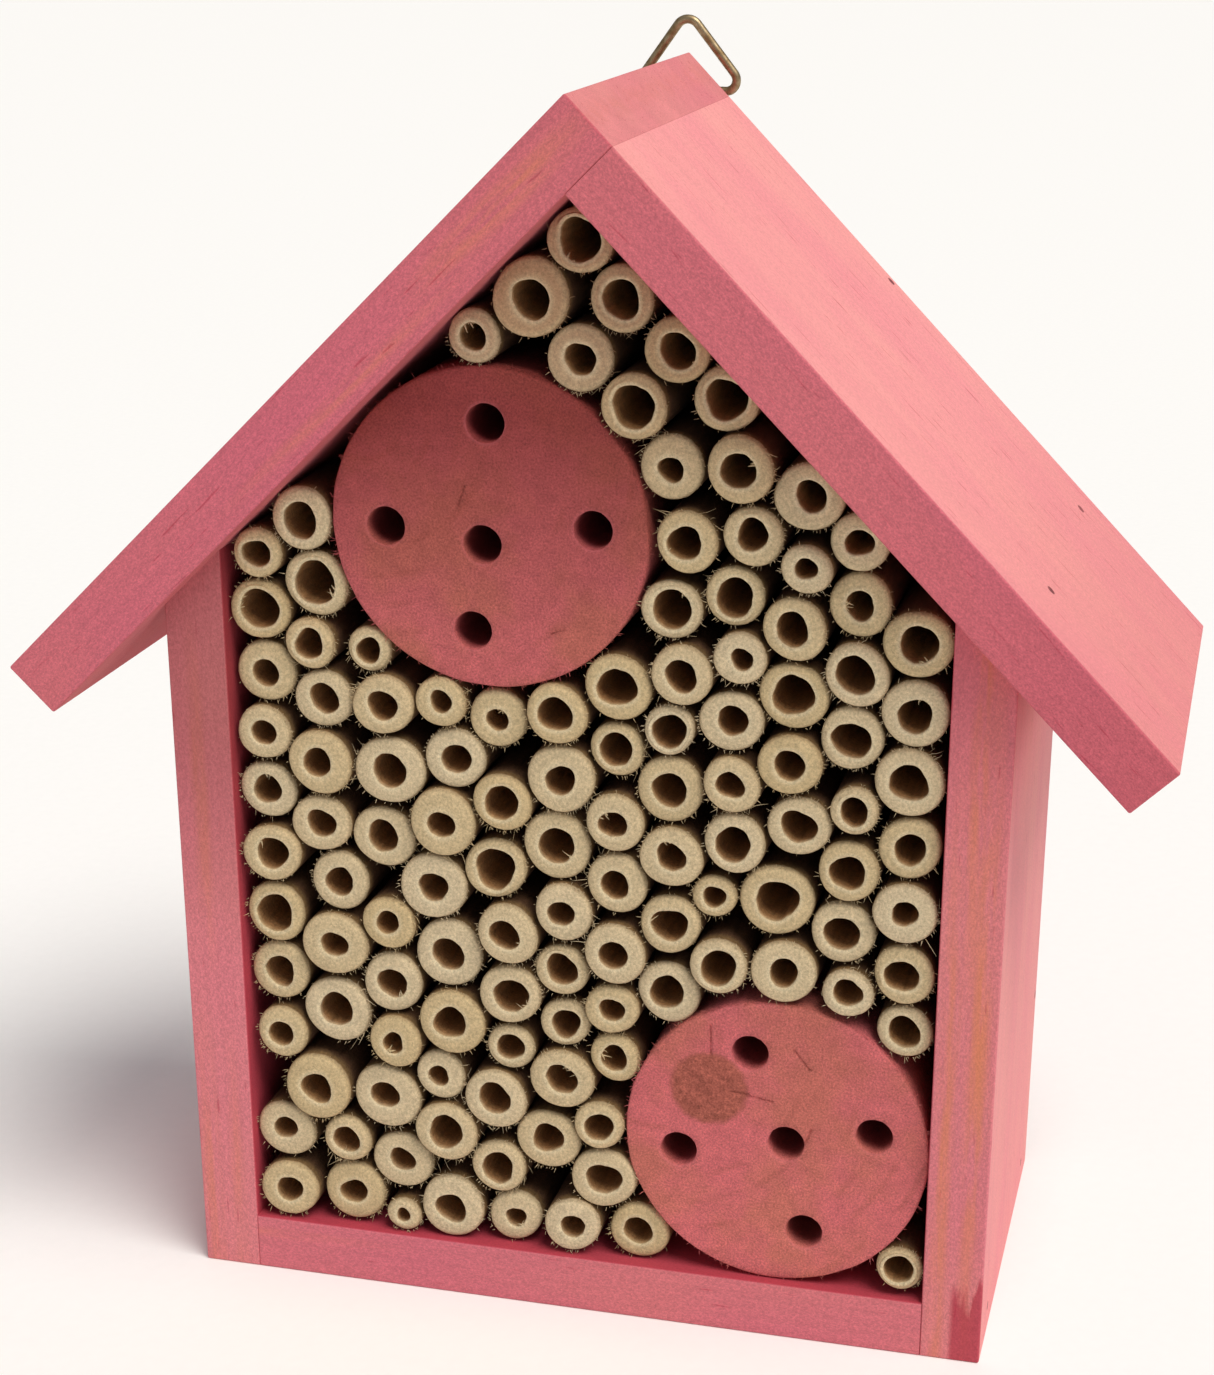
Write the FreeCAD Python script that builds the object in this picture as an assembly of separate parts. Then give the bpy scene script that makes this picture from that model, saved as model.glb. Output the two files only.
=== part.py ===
"""Insect hotel: a small pitched-roof box of stained pine, filled with bamboo canes and two drilled logs.

Frame: millimetres, +Z up, front towards -Y, +X to the right as seen from the front.
Origin: the middle of the underside that the body stands on.
"""
import FreeCAD, Part
import math
import os

# ---- body and roof ----
BODY_WIDTH = 164.0         # over both side boards
BODY_DEPTH = 84.0          # width of the plank that the sides and floor are cut from
WALL_HEIGHT = 144.0        # outer face of a side board, up to the roof's underside
WALL_THICKNESS = 12.0
FLOOR_THICKNESS = 12.0
ROOF_THICKNESS = 12.0
ROOF_PITCH = 45.0          # degrees
ROOF_LENGTH = 146.5        # underside of a roof board, from the inner apex to the eave
ROOF_OVERHANG = 6.5        # the roof stands forward of the body; at the back they are flush
EDGE_EASE = 0.45           # radius of the sanded arrises of the boards
PANEL_THICKNESS = 5.0      # plywood back, let in between the boards
TOUCH = 0.01               # nearer than this, an edge meets another board

# ---- drilled logs ----
LOG_DIAMETER = 61.0
LOG_RECESS = 2.0           # behind the front of the body
LOG_ROOF_GAP = 1.5         # between the upper log and the left roof board
LOG_CLEARANCE = 0.2        # between a log and what it lies against
UPPER_LOG_SHIFT = -17.5    # x of the upper log
DRILL_DIAMETER = 7.3
DRILL_DEPTH = 62.0
DRILL_CIRCLE = 20.0        # radius of the four outer holes' circle
UPPER_DRILL_ANGLES = (4.0, 91.0, 182.0, 260.0)   # drilled by eye, so the crosses are uneven
LOWER_DRILL_ANGLES = (12.0, 106.0, 191.0, 288.0)
UPPER_DRILL_CENTRE = (-1.3, -2.9)                # the middle hole's offset from the log's axis
LOWER_DRILL_CENTRE = (2.1, 0.3)

# ---- bamboo canes ----
CANE_CLEARANCE = 0.2       # between a cane and its neighbours
CANE_LANE = 11.7           # usual width of one upright lane of canes
CANE_LOOSENESS = 1.08      # height that a lane gives a cane, over the cane's diameter
LANE_LEAN = 0.12           # a lane's canes stand left and right of its middle, by this share of its width
CANE_RECESS = 0.6          # the longest cane ends this far behind the front of the body
CANE_SPREAD = 2.2          # the shortest ends this much further back
UNEVEN_STEP = 0.618        # share of the spread from one cane to the next, so that neighbours differ
CANE_EDGE = 0.5            # worn outer edge of a cut end
CANE_NODES = 44            # the canes are shared out over this many nodes
SETTLE_STEPS = 700         # moves made while the canes find their places
EASY_GAP = 1.2             # gap that the canes first keep, before they may touch

# One line for each lane, from the left wall to the right: outer diameter / bore, from the floor up.
# After "|" come the canes that stand above a log.
CANE_LANES = (
    "13.5/6 12.5/5 13.5/6.5 13/6.5 13/8 13/7 12/6 12/5.5 12.5/5.5 12.5/8 10/5.5",
    "14.5/6 11/6 14.5/6.5 15/7.5 14/5.5 12.5/6 12.5/6 13.5/6 12/6 10.5/6 13/8.5 12.5/7",
    "7.5/3 13.5/5.5 14.5/6 11.5/4.5 13.5/6.5 11.5/5 13/6.5 14.5/7 12.5/6 9/5 11/7",
    "14/6.5 13.5/7.5 11/4.5 14.5/7 15/7 14/6 14/5.5 12.5/6 10.5/4.5",
    "12/4.5 12/7 13.5/7 10.5/6 13.5/7.5 13.5/6.5 13/8.5 12/7 | 10/5 13.5/7",
    "13/5.5 13.5/6.5 13.5/6.5 10.5/6 11/6.5 12.5/5.5 14.5/7.5 14/6 12.5/7 | 13/6 14.5/7",
    "12.5/6 13.5/7 10.5/6 10.5/5.5 11/5 13/6 13/6 12/5.5 11.5/7 14/8 12/7.5 12.5/6 | 12.5/8 14/8",
    "13/7 12.5/7 13/6 13.5/7 10.5/7 12.5/6.5 12.5/8 14/7.5 13/5",
    "12/7.5 9/4.5 13/7.5 11.5/5.5 12.5/6 11/4.5 12.5/8 12.5/6.5 13.5/7",
    "13.5/6 15/8.5 13/7 12.5/6 13.5/8 12.5/6.5 10.5/4.5",
    "12.5/7 13/7 12.5/7 9.5/5.5 13/7.5 12.5/7.5 13.5/6 11/5 10.5/4.5",
    "9.5/6 | 12/7 13/7 13.5/5.5 13/6.5 14/7.5 13/6.5 13/7",
)

# ---- nails ----
NAIL_DIAMETER = 1.2
NAIL_LENGTH = 20.0
NAIL_HEAD = 1.8
NAIL_HEAD_THICKNESS = 0.6
NAIL_INSET = 12.0          # from the front and back of the body
WALL_NAIL_DEPTH = 0.4      # share of a side board's thickness, from its outer face to the roof nails
PANEL_NAIL_PLACE = 0.5      # from the middle of the roof to its inner corner, as a share
PANEL_NAIL_HEIGHTS = (0.3, 0.75)   # shares of the wall's height
NAIL_CLEARANCE = 0.05

# ---- hanger ----
RING_WIRE = 1.8
RING_WIDTH = 24.0          # between the centre lines of the two lower corners
RING_HEIGHT = 15.5         # from the bar's axis to where the legs would meet
RING_APEX_SHIFT = -0.8     # the bent wire leans a little
RING_APEX_RADIUS = 2.6
RING_CORNER_RADIUS = 2.2
RING_GAP = 1.0             # between the wire's two ends, hidden in the strap
RING_CLEARANCE = 0.1
STRAP_WIDTH = 7.0
STRAP_THICKNESS = 0.8
STRAP_TAIL = 3.2           # below the screw's axis
BAR_BELOW_RIDGE = 7.7      # the ring's bar, below the ridge
SCREW_BELOW_BAR = 5.2
SCREW_DIAMETER = 2.8
SCREW_LENGTH = 14.0
SCREW_HEAD = 4.8
SCREW_HEAD_HEIGHT = 1.5
SCREW_DOME = 0.6           # rounded share of the head's height
SCREW_SLOT = 0.8
SCREW_CLEARANCE = 0.15

# ---- worked out from the values above ----
FRONT = -BODY_DEPTH / 2
BACK = BODY_DEPTH / 2
PANEL_FRONT = BACK - PANEL_THICKNESS
HALF_WIDTH = BODY_WIDTH / 2
INNER_HALF = HALF_WIDTH - WALL_THICKNESS
PITCH = math.radians(ROOF_PITCH)
SLOPE = math.tan(PITCH)
APEX = WALL_HEIGHT + HALF_WIDTH * SLOPE
RIDGE = APEX + ROOF_THICKNESS / math.cos(PITCH)
LOG_RADIUS = LOG_DIAMETER / 2
UPPER_LOG = (
    UPPER_LOG_SHIFT,
    APEX - abs(UPPER_LOG_SHIFT) * SLOPE - (LOG_RADIUS + LOG_ROOF_GAP) / math.cos(PITCH),
)
LOWER_LOG = (
    INNER_HALF - LOG_RADIUS - LOG_CLEARANCE,
    FLOOR_THICKNESS + LOG_RADIUS + LOG_CLEARANCE,
)
WIRE_RADIUS = RING_WIRE / 2
LOOP_RADIUS = WIRE_RADIUS + RING_CLEARANCE + STRAP_THICKNESS
BAR_Y = BACK + LOOP_RADIUS
BAR_Z = RIDGE - BAR_BELOW_RIDGE
SCREW_Z = BAR_Z - SCREW_BELOW_BAR


def save(name, shape):
    """Write one node to its own STEP file."""
    shape.exportStep("parts/" + name + ".step")


def prism(outline, front, back):
    """A board with an outline of (x, z) points, running from front to back."""
    points = [FreeCAD.Vector(x, front, z) for x, z in outline]
    face = Part.Face(Part.makePolygon(points + points[:1]))
    return face.extrude(FreeCAD.Vector(0, back - front, 0))


def rod(radius, start, direction, length):
    """A round bar from start along direction."""
    return Part.makeCylinder(radius, length, FreeCAD.Vector(*start), FreeCAD.Vector(*direction))


def mirrored(outline):
    """The same outline on the other side of the middle."""
    return [(-x, z) for x, z in reversed(outline)]


def roof_under(x):
    """Height of the roof's underside."""
    return APEX - abs(x) * SLOPE


# ---- nails ----
def nail(start, direction, clearance=0.0):
    """A nail with its head flush at start; with a clearance, the hole that it sits in."""
    shank = rod(NAIL_DIAMETER / 2 + clearance, start, direction, NAIL_LENGTH + clearance)
    head = rod(NAIL_HEAD / 2 + clearance, start, direction, NAIL_HEAD_THICKNESS + clearance)
    return shank.fuse(head)


def roof_nail_places():
    """Nails through the roof boards, square to the slope, into the side boards and the back."""
    places = []
    wall_x = HALF_WIDTH - WALL_THICKNESS * WALL_NAIL_DEPTH
    panel_y = (PANEL_FRONT + BACK) / 2
    panel_x = INNER_HALF * PANEL_NAIL_PLACE
    targets = [(wall_x, FRONT + NAIL_INSET), (wall_x, BACK - NAIL_INSET), (panel_x, panel_y)]
    for side in (-1, 1):
        for x, y in targets:
            start = (
                side * (x + ROOF_THICKNESS * math.sin(PITCH)),
                y,
                roof_under(x) + ROOF_THICKNESS * math.cos(PITCH),
            )
            places.append((start, (-side * math.sin(PITCH), 0, -math.cos(PITCH))))
    return places


def ridge_nail_places():
    """Nails through the left roof board into the end of the right one."""
    end_length = ROOF_THICKNESS / math.sin(2 * PITCH)
    middle_x = math.cos(PITCH) * end_length / 2
    middle_z = APEX + math.sin(PITCH) * end_length / 2
    start_x = middle_x - ROOF_THICKNESS * math.sin(PITCH)
    start_z = middle_z + ROOF_THICKNESS * math.cos(PITCH)
    direction = (math.sin(PITCH), 0, -math.cos(PITCH))
    return [((start_x, y, start_z), direction) for y in (FRONT + NAIL_INSET, BACK - NAIL_INSET)]


def floor_nail_places():
    """Nails through the side boards into the ends of the floor."""
    height = FLOOR_THICKNESS / 2
    places = []
    for side in (-1, 1):
        for y in (FRONT + NAIL_INSET, BACK - NAIL_INSET):
            places.append(((side * HALF_WIDTH, y, height), (-side, 0, 0)))
    return places


def panel_nail_places():
    """Nails through the side boards into the edges of the back."""
    panel_y = (PANEL_FRONT + BACK) / 2
    places = []
    for side in (-1, 1):
        for share in PANEL_NAIL_HEIGHTS:
            places.append(((side * HALF_WIDTH, panel_y, WALL_HEIGHT * share), (-side, 0, 0)))
    return places


def drill_nails(board, places):
    """Cut the holes of these nails out of a board."""
    return board.cut([nail(start, direction, NAIL_CLEARANCE) for start, direction in places])


# ---- boards ----
def side_outline():
    """The right side board, its top bevelled to the roof."""
    return [
        (INNER_HALF, 0),
        (HALF_WIDTH, 0),
        (HALF_WIDTH, WALL_HEIGHT),
        (INNER_HALF, roof_under(INNER_HALF)),
    ]


def roof_outlines():
    """The left roof board runs through to the ridge; the right one butts against its underside."""
    along = (math.cos(PITCH), -math.sin(PITCH))
    out = (ROOF_THICKNESS * math.sin(PITCH), ROOF_THICKNESS * math.cos(PITCH))
    eave = (ROOF_LENGTH * along[0], APEX + ROOF_LENGTH * along[1])
    eave_top = (eave[0] + out[0], eave[1] + out[1])
    end_length = ROOF_THICKNESS / math.sin(2 * PITCH)
    butt_top = (end_length * math.cos(PITCH), APEX + end_length * math.sin(PITCH))
    right = [(0, APEX), eave, eave_top, butt_top]
    left = [(0, APEX), butt_top, (0, RIDGE), (-eave_top[0], eave_top[1]), (-eave[0], eave[1])]
    return left, right


def eased(board, neighbours):
    """Round the arrises of a board, apart from those that meet another board."""
    edges = []
    for edge in board.Edges:
        middle = Part.Vertex(edge.CenterOfMass)
        if all(middle.distToShape(other)[0] > TOUCH for other in neighbours):
            edges.append(edge)
    return board.makeFillet(EDGE_EASE, edges) if edges else board


def floor_outline():
    """The floor lies between the side boards."""
    return [(-INNER_HALF, 0), (INNER_HALF, 0), (INNER_HALF, FLOOR_THICKNESS), (-INNER_HALF, FLOOR_THICKNESS)]


def panel_outline():
    """The back fills the inside of the body, from the floor to the apex."""
    eaves = roof_under(INNER_HALF)
    return [
        (-INNER_HALF, FLOOR_THICKNESS),
        (INNER_HALF, FLOOR_THICKNESS),
        (INNER_HALF, eaves),
        (0, APEX),
        (-INNER_HALF, eaves),
    ]


def build_boards():
    """The six wooden boards, eased and then drilled for their nails and the hanger's screw."""
    left_outline, right_outline = roof_outlines()
    roof_front = FRONT - ROOF_OVERHANG
    side_nails = floor_nail_places() + panel_nail_places() + roof_nail_places()
    roof_nails = roof_nail_places() + ridge_nail_places()
    boards = {
        "side_board_left": prism(mirrored(side_outline()), FRONT, BACK),
        "side_board_right": prism(side_outline(), FRONT, BACK),
        "floor_board": prism(floor_outline(), FRONT, BACK),
        "roof_board_left": prism(left_outline, roof_front, BACK),
        "roof_board_right": prism(right_outline, roof_front, BACK),
        "back_panel": prism(panel_outline(), PANEL_FRONT, BACK),
    }
    nails = {
        "side_board_left": side_nails,
        "side_board_right": side_nails,
        "floor_board": floor_nail_places(),
        "roof_board_left": roof_nails,
        "roof_board_right": roof_nails,
        "back_panel": panel_nail_places() + roof_nail_places(),
    }
    screw_hole = rod(SCREW_DIAMETER / 2 + NAIL_CLEARANCE, (0, BACK, SCREW_Z), (0, -1, 0), SCREW_LENGTH)
    for name, board in boards.items():
        neighbours = [other for other in boards.values() if other is not board]
        drilled = drill_nails(eased(board, neighbours), nails[name])
        if name == "roof_board_left":
            drilled = drilled.cut(screw_hole)
        save(name, drilled)


def build_nails():
    """One node for each job that the nails do."""
    groups = {
        "roof_nails": roof_nail_places(),
        "ridge_nails": ridge_nail_places(),
        "floor_nails": floor_nail_places(),
        "panel_nails": panel_nail_places(),
    }
    for name, places in groups.items():
        save(name, Part.makeCompound([nail(start, direction) for start, direction in places]))


# ---- logs ----
def log(centre, angles, middle):
    """A round log with one blind hole near its axis and four around it."""
    length = PANEL_FRONT - FRONT - LOG_RECESS
    front = FRONT + LOG_RECESS
    wood = rod(LOG_RADIUS, (centre[0], front, centre[1]), (0, 1, 0), length)
    places = [(centre[0] + middle[0], centre[1] + middle[1])]
    for angle in angles:
        turn = math.radians(angle)
        places.append((
            centre[0] + DRILL_CIRCLE * math.cos(turn),
            centre[1] + DRILL_CIRCLE * math.sin(turn),
        ))
    return wood.cut([rod(DRILL_DIAMETER / 2, (x, front, z), (0, 1, 0), DRILL_DEPTH) for x, z in places])


# ---- canes ----
class Cane:
    """One cane: the place of its axis, its outer diameter and its bore."""

    def __init__(self, x, z, size):
        outer, bore = size.split("/")
        self.x = x
        self.z = z
        self.radius = float(outer) / 2
        self.bore = float(bore) / 2


def free_spans(x):
    """The stretches of a lane that the floor, the logs and the roof leave free, from the floor up."""
    spans = [(FLOOR_THICKNESS, roof_under(x))]
    for centre_x, centre_z in (LOWER_LOG, UPPER_LOG):
        if abs(x - centre_x) >= LOG_RADIUS:
            continue
        half = math.sqrt(LOG_RADIUS ** 2 - (x - centre_x) ** 2)
        low, high = spans.pop()
        spans.append((low, centre_z - half))
        spans.append((centre_z + half, high))
    return spans


def lane_canes(x, lane, lane_width):
    """The canes of one lane, spread evenly over its free stretches."""
    runs = [run.split() for run in lane.split("|")]
    smallest = min(float(size.split("/")[0]) for run in runs for size in run)
    spans = [span for span in free_spans(x) if span[1] - span[0] > smallest]
    canes = []
    for number, (low, high) in enumerate(spans):
        run = runs[min(number, len(runs) - 1)]
        mean = sum(float(size.split("/")[0]) for size in run) / len(run)
        share = lane_width / CANE_LANE
        count = max(1, round((high - low) * share / (mean * CANE_LOOSENESS)))
        pitch = (high - low) / count
        for place in range(count):
            lean = lane_width * LANE_LEAN * (-1) ** place
            canes.append(Cane(x + lean, low + pitch * (place + 0.5), run[place % len(run)]))
    return canes


def keep_apart(one, other, gap):
    """Move two canes apart until the gap between them is kept."""
    across = other.x - one.x
    up = other.z - one.z
    wanted = one.radius + other.radius + gap
    if abs(across) >= wanted or abs(up) >= wanted:
        return
    distance = math.hypot(across, up)
    if distance < wanted:
        push = (wanted - distance) / (2 * max(distance, 0.01))
        one.x -= across * push
        one.z -= up * push
        other.x += across * push
        other.z += up * push


def keep_inside(cane):
    """Hold a cane clear of the logs, the walls, the floor and the roof."""
    for centre_x, centre_z in (LOWER_LOG, UPPER_LOG):
        distance = math.hypot(cane.x - centre_x, cane.z - centre_z)
        wanted = LOG_RADIUS + cane.radius + CANE_CLEARANCE
        if distance < wanted:
            cane.x = centre_x + (cane.x - centre_x) * wanted / distance
            cane.z = centre_z + (cane.z - centre_z) * wanted / distance
    reach = cane.radius + CANE_CLEARANCE
    side = math.copysign(1, cane.x)
    over = (cane.z - roof_under(cane.x)) * math.cos(PITCH) + reach
    if over > 0:
        cane.x -= side * over * math.sin(PITCH)
        cane.z -= over * math.cos(PITCH)
    cane.x = min(max(cane.x, reach - INNER_HALF), INNER_HALF - reach)
    cane.z = max(cane.z, FLOOR_THICKNESS + reach)


def room_around(cane, canes):
    """The largest radius that the cane can have where it lies."""
    room = [
        INNER_HALF - abs(cane.x),
        cane.z - FLOOR_THICKNESS,
        (roof_under(cane.x) - cane.z) * math.cos(PITCH),
    ]
    for centre_x, centre_z in (LOWER_LOG, UPPER_LOG):
        room.append(math.hypot(cane.x - centre_x, cane.z - centre_z) - LOG_RADIUS)
    for other in canes:
        if other is not cane:
            room.append(math.hypot(cane.x - other.x, cane.z - other.z) - other.radius)
    return min(room) - CANE_CLEARANCE


def settled_canes():
    """All canes in their places, lane by lane and from the floor up."""
    lane_count = round(2 * INNER_HALF / CANE_LANE)
    lane_width = 2 * INNER_HALF / lane_count
    canes = []
    for number in range(lane_count):
        x = lane_width * (number + 0.5) - INNER_HALF
        canes += lane_canes(x, CANE_LANES[number % len(CANE_LANES)], lane_width)
    for step in range(SETTLE_STEPS):
        ease = max(0.0, 1 - 2 * step / SETTLE_STEPS)
        gap = CANE_CLEARANCE + (EASY_GAP - CANE_CLEARANCE) * ease
        for number, cane in enumerate(canes):
            for other in canes[number + 1:]:
                keep_apart(cane, other, gap)
        for cane in canes:
            keep_inside(cane)
    for cane in canes:
        radius = min(cane.radius, room_around(cane, canes))
        cane.bore *= radius / cane.radius
        cane.radius = radius
    return canes


def cane_solid(cane, number):
    """A tube from near the front of the body to the back panel, worn round at its cut end."""
    uneven = (number * UNEVEN_STEP) % 1
    front = FRONT + CANE_RECESS + CANE_SPREAD * uneven
    length = PANEL_FRONT - front
    outside = rod(cane.radius, (cane.x, front, cane.z), (0, 1, 0), length)
    rim = [edge for edge in outside.Edges if abs(edge.CenterOfMass.y - front) < 0.01]
    outside = outside.makeChamfer(CANE_EDGE, rim)
    return outside.cut(rod(cane.bore, (cane.x, front, cane.z), (0, 1, 0), length))


def build_canes():
    """Neighbouring canes share a node, each as a solid of its own."""
    canes = settled_canes()
    solids = [cane_solid(cane, number) for number, cane in enumerate(canes)]
    for node in range(CANE_NODES):
        first = node * len(solids) // CANE_NODES
        last = (node + 1) * len(solids) // CANE_NODES
        save("canes_%02d" % (node + 1), Part.makeCompound(solids[first:last]))
    print("canes:", len(canes), "least outer radius:", round(min(cane.radius for cane in canes), 2))


# ---- hanger ----
def corner_arc(before, corner, after, radius):
    """The arc that rounds a corner, and the two points where it starts and ends."""
    back = before.sub(corner).normalize()
    on = after.sub(corner).normalize()
    half = back.getAngle(on) / 2
    start = corner.add(back.multiply(radius / math.tan(half)))
    end = corner.add(on.multiply(radius / math.tan(half)))
    inward = start.add(end).multiply(0.5).sub(corner).normalize()
    middle = corner.add(inward.multiply(radius / math.sin(half) - radius))
    return start, middle, end


def hanger_ring():
    """A triangle of round wire; its two ends meet in the middle of the bar, inside the strap."""
    left = FreeCAD.Vector(-RING_WIDTH / 2, BAR_Y, BAR_Z)
    right = FreeCAD.Vector(RING_WIDTH / 2, BAR_Y, BAR_Z)
    apex = FreeCAD.Vector(RING_APEX_SHIFT, BAR_Y, BAR_Z + RING_HEIGHT)
    first = FreeCAD.Vector(RING_GAP / 2, BAR_Y, BAR_Z)
    last = FreeCAD.Vector(-RING_GAP / 2, BAR_Y, BAR_Z)
    corners = [
        corner_arc(left, right, apex, RING_CORNER_RADIUS),
        corner_arc(right, apex, left, RING_APEX_RADIUS),
        corner_arc(apex, left, right, RING_CORNER_RADIUS),
    ]
    edges = []
    here = first
    for start, middle, end in corners:
        edges.append(Part.LineSegment(here, start).toShape())
        edges.append(Part.Arc(start, middle, end).toShape())
        here = end
    edges.append(Part.LineSegment(here, last).toShape())
    section = Part.Face(Part.Wire(Part.makeCircle(WIRE_RADIUS, first, FreeCAD.Vector(1, 0, 0))))
    return Part.Wire(edges).makePipe(section)


def hanger_strap():
    """A metal strip folded round the ring's bar, with both tails under one screw."""
    corner = -STRAP_WIDTH / 2
    axis = (corner, BAR_Y, BAR_Z)
    tail_bottom = SCREW_Z - STRAP_TAIL
    loop = rod(LOOP_RADIUS, axis, (1, 0, 0), STRAP_WIDTH)
    inner_tail = Part.makeBox(
        STRAP_WIDTH, STRAP_THICKNESS, BAR_Z - tail_bottom, FreeCAD.Vector(corner, BACK, tail_bottom)
    )
    outer_top = BAR_Z - WIRE_RADIUS - RING_CLEARANCE
    outer_tail = Part.makeBox(
        STRAP_WIDTH,
        STRAP_THICKNESS,
        outer_top - tail_bottom,
        FreeCAD.Vector(corner, BACK + STRAP_THICKNESS, tail_bottom),
    )
    bar_hole = rod(WIRE_RADIUS + RING_CLEARANCE, axis, (1, 0, 0), STRAP_WIDTH)
    screw_hole = rod(
        SCREW_DIAMETER / 2 + SCREW_CLEARANCE, (0, BACK, SCREW_Z), (0, 1, 0), 2 * STRAP_THICKNESS
    )
    return loop.fuse([inner_tail, outer_tail]).cut([bar_hole, screw_hole]).removeSplitter()


def hanger_screw():
    """A slotted round-head screw, through the strap and into the left roof board."""
    seat = BACK + 2 * STRAP_THICKNESS
    shank = rod(SCREW_DIAMETER / 2, (0, seat, SCREW_Z), (0, -1, 0), SCREW_LENGTH)
    head = rod(SCREW_HEAD / 2, (0, seat, SCREW_Z), (0, 1, 0), SCREW_HEAD_HEIGHT)
    rim = [edge for edge in head.Edges if abs(edge.CenterOfMass.y - seat - SCREW_HEAD_HEIGHT) < 0.01]
    head = head.makeFillet(SCREW_HEAD_HEIGHT * SCREW_DOME, rim)
    slot = Part.makeBox(
        SCREW_HEAD,
        SCREW_HEAD_HEIGHT,
        SCREW_SLOT,
        FreeCAD.Vector(-SCREW_HEAD / 2, seat + SCREW_HEAD_HEIGHT / 2, SCREW_Z - SCREW_SLOT / 2),
    )
    return head.cut(slot).fuse(shank)


def main():
    os.makedirs("parts", exist_ok=True)
    build_boards()
    build_nails()
    save("log_upper", log(UPPER_LOG, UPPER_DRILL_ANGLES, UPPER_DRILL_CENTRE))
    save("log_lower", log(LOWER_LOG, LOWER_DRILL_ANGLES, LOWER_DRILL_CENTRE))
    build_canes()
    save("hanger_ring", hanger_ring())
    save("hanger_strap", hanger_strap())
    save("hanger_screw", hanger_screw())


main()
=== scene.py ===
"""Insect hotel: the looks of a small house of stained pine, filled with bamboo canes and two drilled logs.

Metres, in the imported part's own frame: +Z up, the open front towards -Y.
"""
import math
import random

import bmesh
import bpy
from mathutils import Matrix, Vector, noise


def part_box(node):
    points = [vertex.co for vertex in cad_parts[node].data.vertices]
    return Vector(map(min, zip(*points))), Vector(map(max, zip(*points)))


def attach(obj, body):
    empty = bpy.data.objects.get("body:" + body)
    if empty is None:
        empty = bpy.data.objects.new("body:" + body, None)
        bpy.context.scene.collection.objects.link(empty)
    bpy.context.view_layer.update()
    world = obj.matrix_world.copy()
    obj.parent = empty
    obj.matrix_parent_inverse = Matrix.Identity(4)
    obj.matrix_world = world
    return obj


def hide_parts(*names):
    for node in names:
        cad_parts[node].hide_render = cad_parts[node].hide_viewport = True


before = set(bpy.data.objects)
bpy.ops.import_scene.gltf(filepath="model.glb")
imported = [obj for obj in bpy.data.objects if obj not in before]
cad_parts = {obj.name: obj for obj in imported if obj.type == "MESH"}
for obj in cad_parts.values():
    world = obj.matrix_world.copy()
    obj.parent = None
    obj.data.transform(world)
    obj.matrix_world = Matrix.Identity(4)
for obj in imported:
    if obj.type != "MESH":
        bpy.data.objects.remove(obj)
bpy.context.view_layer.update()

bl_info = {
    "name": "Insect Hotel",
    "version": (1, 0, 0),
    "blender": (4, 5, 0),
    "location": "3D View > Sidebar > Insect Hotel",
    "description": "Builds a stained pine insect hotel with bamboo canes around its packed CAD part",
    "category": "Object",
}

MM = 0.001
FACING_FRONT = Matrix.Rotation(math.radians(90), 4, "X")    # turns a circle in XY to face -Y
SNAP = 0.01 * MM             # nearer than this, two points of a CAD mesh are one
FOLD = math.radians(20)      # a sharper edge than this bounds a face

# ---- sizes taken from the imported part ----
SIDE_LOW, SIDE_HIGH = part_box("side_board_right")
LEFT_ROOF_LOW, LEFT_ROOF_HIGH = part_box("roof_board_left")
FLOOR_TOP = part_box("floor_board")[1].z
RIDGE = LEFT_ROOF_HIGH.z
BOARD = SIDE_HIGH.x - SIDE_LOW.x        # every board is this thick
PITCH = math.radians(45)                # slope of the roof
ROOF_FACE = RIDGE * math.cos(PITCH)     # how far a slope's outer face is from the origin


def linear(hex_colour):
    """An sRGB hex colour as linear red, green and blue."""
    channels = [int(hex_colour[place:place + 2], 16) / 255 for place in (1, 3, 5)]
    return tuple(c / 12.92 if c <= 0.04045 else ((c + 0.055) / 1.055) ** 2.4 for c in channels)


# ---- settings ----
def colour_setting(name, description, hex_colour):
    return bpy.props.FloatVectorProperty(
        name=name, description=description, default=linear(hex_colour), size=3, min=0, max=1, subtype="COLOR"
    )


class HotelStain(bpy.types.PropertyGroup):
    """Colours of the stained softwood."""

    blush: colour_setting("Blush", "Broad faces of the boards", "#eb9298")
    salmon: colour_setting("Salmon", "Broad faces, where they took less stain", "#f1a29d")
    # rose and coral are darker than blush and salmon partly because the front edges took more stain, partly
    # as painted shade of the front faces
    rose: colour_setting("Rose", "Narrow edges of the boards", "#d0697a")
    coral: colour_setting("Coral", "Narrow edges, where they took less stain", "#d47278")
    amber: colour_setting("Amber", "Resin streaks that the stain doesn't cover", "#dc8466")
    # wine also stands for painted shade: on the inner faces, and under the roof on the right side board
    wine: colour_setting("Wine", "Where the board soaked up the stain", "#b02c42")
    log: colour_setting("Log", "Sawn face of the logs", "#d67174")
    log_brown: colour_setting("Log brown", "Heartwood of the logs", "#cb7468")
    # shade_brown is painted shade under the roof, on the upper log and the top of the left side board
    shade_brown: colour_setting("Log dark", "Where a log soaked up the stain", "#7c2c29")
    hole: colour_setting("Hole", "Inside of a drilled hole", "#651c22")
    knot: colour_setting("Knot", "Knot in the lower log", "#ab6052")


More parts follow.
